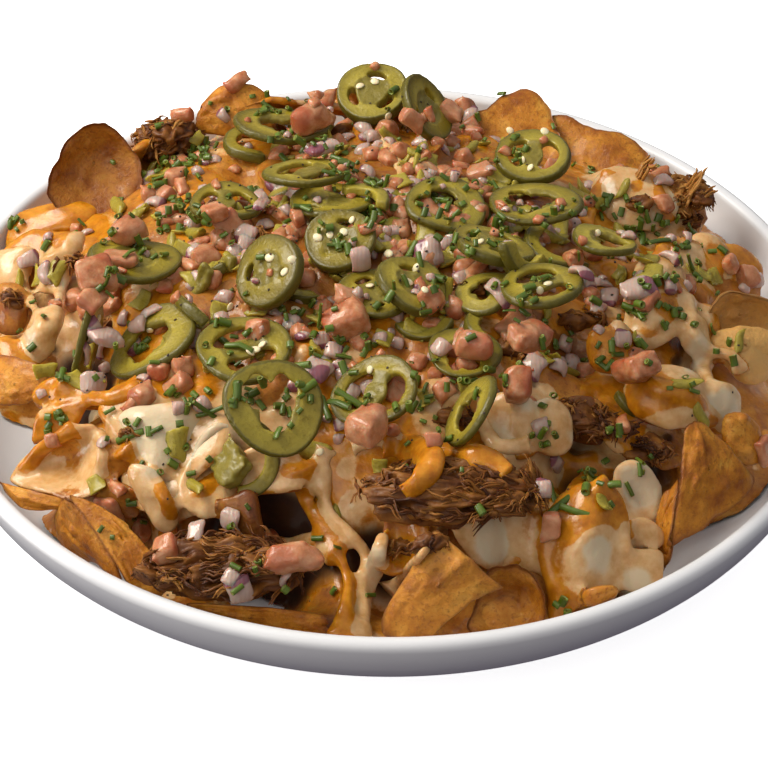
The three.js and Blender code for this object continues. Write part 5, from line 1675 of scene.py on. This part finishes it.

# %% [markdown]
# Small dice go at places of the frame that are listed one by one. They are laid on what lies under
# the large dice, so that none stands on another. Crumbs are strewn by a seeded draw, denser in the
# middle of the bowl: a third of them each for tomato, onion and jalapeno.

# %% Small tomato
# Each: frame u, frame v.
TOMATO_SPOTS = [
    (206, 261), (166, 196), (171, 216), (229, 228), (299, 128), (387, 131), (447, 113), (463, 110),
    (452, 135), (400, 229), (460, 348), (510, 328), (573, 261), (643, 299), (728, 266), (745, 278),
    (434, 444), (168, 552), (110, 511), (145, 530), (14, 461), (552, 524), (271, 542), (762, 451),
    (181, 367), (143, 396), (320, 120), (470, 128), (520, 315), (640, 355), (588, 375), (350, 300),
    (260, 330), (120, 262), (300, 215), (430, 300), (480, 178), (215, 215), (395, 395), (590, 255),
    (176, 180), (412, 118), (112, 296), (92, 302), (122, 284), (78, 302), (180, 388), (160, 372)]
CRUMBS, CRUMB_REACH = 760, 122
random = np.random.default_rng(42)
scraps = [spot for spot in random.normal((0, 12), (52, 42), (CRUMBS, 2)) if np.hypot(*spot) < CRUMB_REACH]
tomato_sizes = [(9, 8, 7), (11, 7, 6), (8, 8, 6), (10, 9, 5), (7, 7, 6)]
tomato_shapes = [knife_cut(size, n) for n, size in enumerate(tomato_sizes)]
crumb_sizes = [(6, 5, 4), (7, 4, 3.4), (5, 5, 4)]
tomato_crumbs = [knife_cut(size, n + 50, 0, 1.15) for n, size in enumerate(crumb_sizes)]
small_tomato = joined([strewn(tomato_shapes, TOMATO_SPOTS, 0.34, 41, (0.75, 1.0), under_dice),
                       strewn(tomato_crumbs, scraps[::3], 0.35, 44, (0.8, 1.6), under_slices, from_above),
                       strewn(tomato_crumbs, scraps[1::12], 0.3, 46, (0.5, 0.9), meet=from_above)])
serve("tomato_small", small_tomato, tomato, "tomato")

# %% [markdown]
# ## Red onion
# Diced onion comes apart into small curved slabs, one layer of the bulb each, 2 to 3 mm thick. The
# layers are glassy white with a lilac cast, and purple along the outer skin.

# %% Onion
onion, skin = new_finish("red_onion_layers", "skin")
place = add(onion, "TexCoord", {}, "Object")
veins = add(onion, "TexWave", {"Vector": place, "Scale": 260.0, "Distortion": 3.0, "Detail": 2.0}, "Fac")
layer = add(onion, "Mix", {0: lumps(onion, 4, 3), 6: "#A88C80", 7: "#C4AA9C"}, **MIX)
close(onion, layered(onion, layer, (skin, 0.25, 0.75, 0.85, "#743048")), 0.22, relief=veins, relief_mm=0.05,
      IOR=1.38, Subsurface_Weight=0.45, Subsurface_Scale=0.004, Coat_Weight=0.4, Coat_Roughness=0.08)
large_dice("onion", 5, 20, 0.75, onion, "red_onion")

# %% Small onion
# Each: frame u, frame v.
ONION_SPOTS = [
    (314, 149), (261, 206), (247, 237), (428, 240), (90, 331), (152, 313), (321, 342), (588, 301),
    (580, 275), (643, 278), (621, 339), (559, 371), (533, 368), (197, 536), (232, 578), (288, 580),
    (232, 521), (555, 465), (542, 488), (755, 280), (240, 590), (600, 285), (335, 352), (300, 225),
    (440, 210), (470, 120), (196, 255), (405, 155), (360, 260), (500, 295), (610, 300), (650, 285),
    (95, 385), (350, 395), (440, 350), (88, 334), (100, 346), (84, 352), (140, 326)]
slab_sizes = [((9, 8, 2.6), -2), ((11, 5, 2.4), -1.6), ((7, 7, 3.6), -1), ((8, 5, 2.2), -2.2)]
onion_shapes = [knife_cut(size, n + 30, bend, 0.8) for n, (size, bend) in enumerate(slab_sizes)]
crumb_sizes = [(5, 4, 2.2), (6, 3.4, 2), (4, 4, 2.6)]
onion_crumbs = [knife_cut(size, n + 60, -1, 0.95) for n, size in enumerate(crumb_sizes)]
small_onion = joined([strewn(onion_shapes, ONION_SPOTS, 0.2, 43, (0.7, 1.0), under_dice),
                      strewn(onion_crumbs, scraps[1::3], 0.3, 45, (0.8, 1.6), under_slices, from_above),
                      strewn(onion_crumbs, scraps[2::12], 0.2, 47, (0.5, 0.9), meet=from_above)])
serve("onion_small", small_onion, onion, "red_onion")

# %% [markdown]
# Crumbs of jalapeno lie under and between the slices: bits of translucent wall, and two pale chunks of
# the spongy middle. They are cut like onion and get the finish of the slices.

# %% Crumbs of jalapeno
# Each chunk: frame u, frame v, its size in mm, spin.
CHUNKS = [(232, 467, (13, 11, 5), 0.4), (203, 284, (15, 4.5, 3), 2.2), (228, 264, (7, 5, 3), 1.0)]
crumb_shapes = []
for index, size in enumerate([(8, 5, 1.8), (6, 6, 1.6), (9, 3.4, 2)]):
    points, faces, _ = knife_cut(size, index + 80, 1.2, 1.0)
    crumb_shapes.append((points, faces, {"out": 0.6 + 0.1 * index, "spongy": 0.0, "tone": 0.8}))
bits.append(strewn(crumb_shapes, scraps[2::3], 0.25, 48, (0.8, 1.6), under_slices, from_above))
for u, v, size, spin in CHUNKS:
    points, faces, _ = knife_cut(size, u, 0, 0.7)
    place, facing = in_sight(u, v)
    points = points + normals_of(points, faces) * (0.7 * noise(points, 2, u))[:, None]
    bits.append((points @ axes_on(facing, spin).T + place + facing * 0.8, faces,
                 {"out": 0.4, "spongy": 0.9, "tone": 1.0}))
serve("pepper_bits", joined(bits), pepper, "pickled_jalapeno")

# %% [markdown]
# ## Cut chives
# Chives are snipped into short hollow tubes, 2 to 3 mm across and 2 to 8 mm long, and some are
# crushed flat by the knife. They fall in clusters, so each cluster is a place and a number. The rest
# are strewn over the whole heap, and a few long ones lie where they are seen.

# %% One snipped chive
# How wide each ring of a chive is, and where along its length: out along the tube, then back inside.
CHIVE_RINGS = [(1, -0.5), (1.02, -0.46), (1, 0), (1.02, 0.46), (1, 0.5), (0.66, 0.48), (0.6, 0),
               (0.66, -0.48)]


def snipped(length, radius, squash, random):
    """A short hollow tube about its own middle."""
    sides, bend = 9, random.uniform(-0.08, 0.08)
    angle = around(sides)
    rings = [np.stack([np.full(sides, along * length), radius * out * np.cos(angle),
                       radius * out * squash * np.sin(angle) + bend * (along * length) ** 2], 1)
             for out, along in CHIVE_RINGS]
    marks = {"tone": random.uniform(0, 1), "inside": np.repeat([0, 0, 0, 0, 0, 1, 1, 1, 0], sides)}
    return np.concatenate(rings + rings[:1]), ring_faces(9, sides), marks


# %% Chives
# Each: frame u, frame v, spread in pixels, number.
CHIVE_CLUSTERS = [
    (15, 223, 7, 6), (192, 165, 14, 14), (200, 150, 12, 12), (165, 160, 10, 8), (160, 180, 10, 6),
    (185, 205, 12, 12), (200, 215, 12, 10), (165, 225, 12, 8), (140, 250, 14, 8), (110, 275, 12, 6),
    (140, 350, 8, 7), (65, 375, 8, 3), (57, 420, 12, 7), (178, 393, 12, 4), (190, 405, 10, 5),
    (245, 400, 22, 14), (265, 105, 16, 9), (285, 95, 16, 8), (300, 140, 20, 10), (330, 150, 16, 8),
    (340, 170, 22, 8), (380, 185, 18, 8), (335, 240, 16, 12), (370, 215, 12, 12), (440, 205, 22, 14),
    (470, 240, 24, 16), (500, 220, 16, 8), (515, 300, 22, 10), (520, 150, 22, 8), (490, 90, 14, 2),
    (600, 205, 16, 8), (650, 220, 22, 18), (635, 310, 18, 10), (665, 280, 12, 5), (670, 320, 14, 4),
    (605, 355, 16, 8), (612, 435, 10, 4), (545, 435, 14, 6), (560, 605, 8, 3), (290, 595, 12, 3),
    (235, 345, 30, 10), (340, 350, 30, 12), (430, 400, 26, 10), (300, 400, 26, 12), (550, 340, 24, 8),
    (130, 520, 26, 6), (250, 575, 26, 4), (600, 480, 30, 6), (420, 290, 24, 8), (300, 310, 26, 8),
    (560, 210, 18, 8), (690, 240, 20, 6), (160, 440, 40, 5), (480, 370, 24, 6)]
LOOSE_CHIVES = 260
# Frame u, frame v of chives 9 mm long.
LONG_CHIVES = [(240, 347), (642, 236), (660, 242), (338, 404), (326, 410), (348, 398), (130, 436),
               (575, 512), (560, 506), (552, 498), (322, 316), (106, 283), (205, 410), (212, 414)]
random = np.random.default_rng(51)
chives = []


def drop_chive(met, long=None):
    length = long or random.gamma(3.0, 0.6) + 0.9
    body, faces, marks = snipped(length, random.uniform(0.6, 1.3), random.uniform(0.45, 1.0), random)
    facing = met[1] + random.normal(0, 0.35, 3)
    axes = axes_on(facing / np.linalg.norm(facing), random.uniform(0, 6.3))
    chives.append((body @ axes.T + met[0] + met[1] * random.uniform(0.5, 1.1), faces, marks))


for u, v, spread, number in CHIVE_CLUSTERS:
    for _ in range(number):
        met = in_sight(u + random.normal(0, spread * 0.6), v + random.normal(0, spread * 0.45))
        if met is not None and met[0][2] > LOWEST_FOOD:
            drop_chive(met)
for _ in range(LOOSE_CHIVES):
    reach = 118 * np.sqrt(random.uniform())
    way = random.uniform(0, 6.3)
    met = from_above(reach * np.cos(way), reach * np.sin(way))
    if met is not None and met[0][2] > LOWEST_FOOD + 5:
        drop_chive(met)
for u, v in LONG_CHIVES:
    drop_chive(in_sight(u, v), 9.0)
print(len(chives), "chives")

# %% [markdown]
# Fresh chive is a deep leaf green, with a waxy bloom that shows as a grey sheen, and paler inside.

# %% Chive finish
chive, tone, inside = new_finish("cut_chives", "tone", "inside")
leaf = add(chive, "Mix", {0: tone, 6: "#3C500A", 7: "#687F24"}, **MIX)
bruised = add(chive, "Mix", {0: lumps(chive, 2, 3), 6: leaf, 7: "#4A5E16"}, **MIX)
snipped_leaf = add(chive, "Mix", {0: inside, 6: bruised, 7: "#86903E"}, **MIX)
close(chive, snipped_leaf, 0.38, relief=lumps(chive, 0.6, 2), relief_mm=0.08, IOR=1.42,
      Subsurface_Weight=0.2, Subsurface_Scale=0.0015, Coat_Weight=0.15, Coat_Roughness=0.2)
serve("chives_cut", joined(chives), chive, "cheese_nachos")

# %% [markdown]
# ## Seeds and pepper
# Jalapeno seeds are flat cream discs, 3 mm across. They stick to the wet faces of the slices and to
# the food around them. Coarse black pepper is a scatter of specks under a millimetre. Both are
# pebbles, which are balls pressed flat and made a little uneven.

# %% Seeds and pepper specks
def pebble(size, seed):
    points = ball(10, 7)
    points = points * np.array(size) / 2 * (1 + 0.12 * noise(points, 0.9, seed))[:, None]
    return points, ring_faces(7, 10), {}


# Each: frame u, frame v.
SEED_SPOTS = [
    (230, 307), (255, 350), (293, 260), (308, 225), (296, 310), (389, 254), (416, 268), (370, 286),
    (510, 131), (545, 132), (597, 233), (98, 319), (232, 258), (388, 116), (352, 220), (344, 232),
    (232, 455), (320, 452), (262, 345), (250, 352), (360, 86), (375, 82), (530, 168), (524, 160),
    (468, 236), (480, 242), (540, 290), (548, 284), (270, 258), (285, 272), (330, 235), (318, 238),
    (408, 282), (425, 290), (150, 330), (370, 370)]
seed_coat = new_finish("pepper_seed")
cream_coat = add(seed_coat, "Mix", {0: lumps(seed_coat, 1.5), 6: "#E2D2A2", 7: "#F1E6C6"}, **MIX)
close(seed_coat, cream_coat, 0.35, relief=lumps(seed_coat, 0.7, 2), relief_mm=0.08, IOR=1.4,
      Subsurface_Weight=0.2, Subsurface_Scale=0.001)
seeds = strewn([pebble((3.1, 2.5, 1.0), n) for n in range(4)], SEED_SPOTS, 0.25, 61)
serve("pepper_seeds", seeds, seed_coat, "pickled_jalapeno")
random = np.random.default_rng(71)
specks = [spot for spot in random.normal(0, 62, (260, 2)) if np.hypot(*spot) < 124]
ground_pepper = new_finish("ground_black_pepper")
dark = add(ground_pepper, "Mix", {0: lumps(ground_pepper, 0.5), 6: "#241A14", 7: "#4A3626"}, **MIX)
close(ground_pepper, dark, 0.6, relief=lumps(ground_pepper, 0.3, 2), relief_mm=0.05)
pepper_specks = strewn([pebble((0.9, 0.7, 0.5), n) for n in range(3)], specks, 0.3, 72, meet=from_above)
serve("pepper_specks", pepper_specks, ground_pepper, "cheese_nachos")
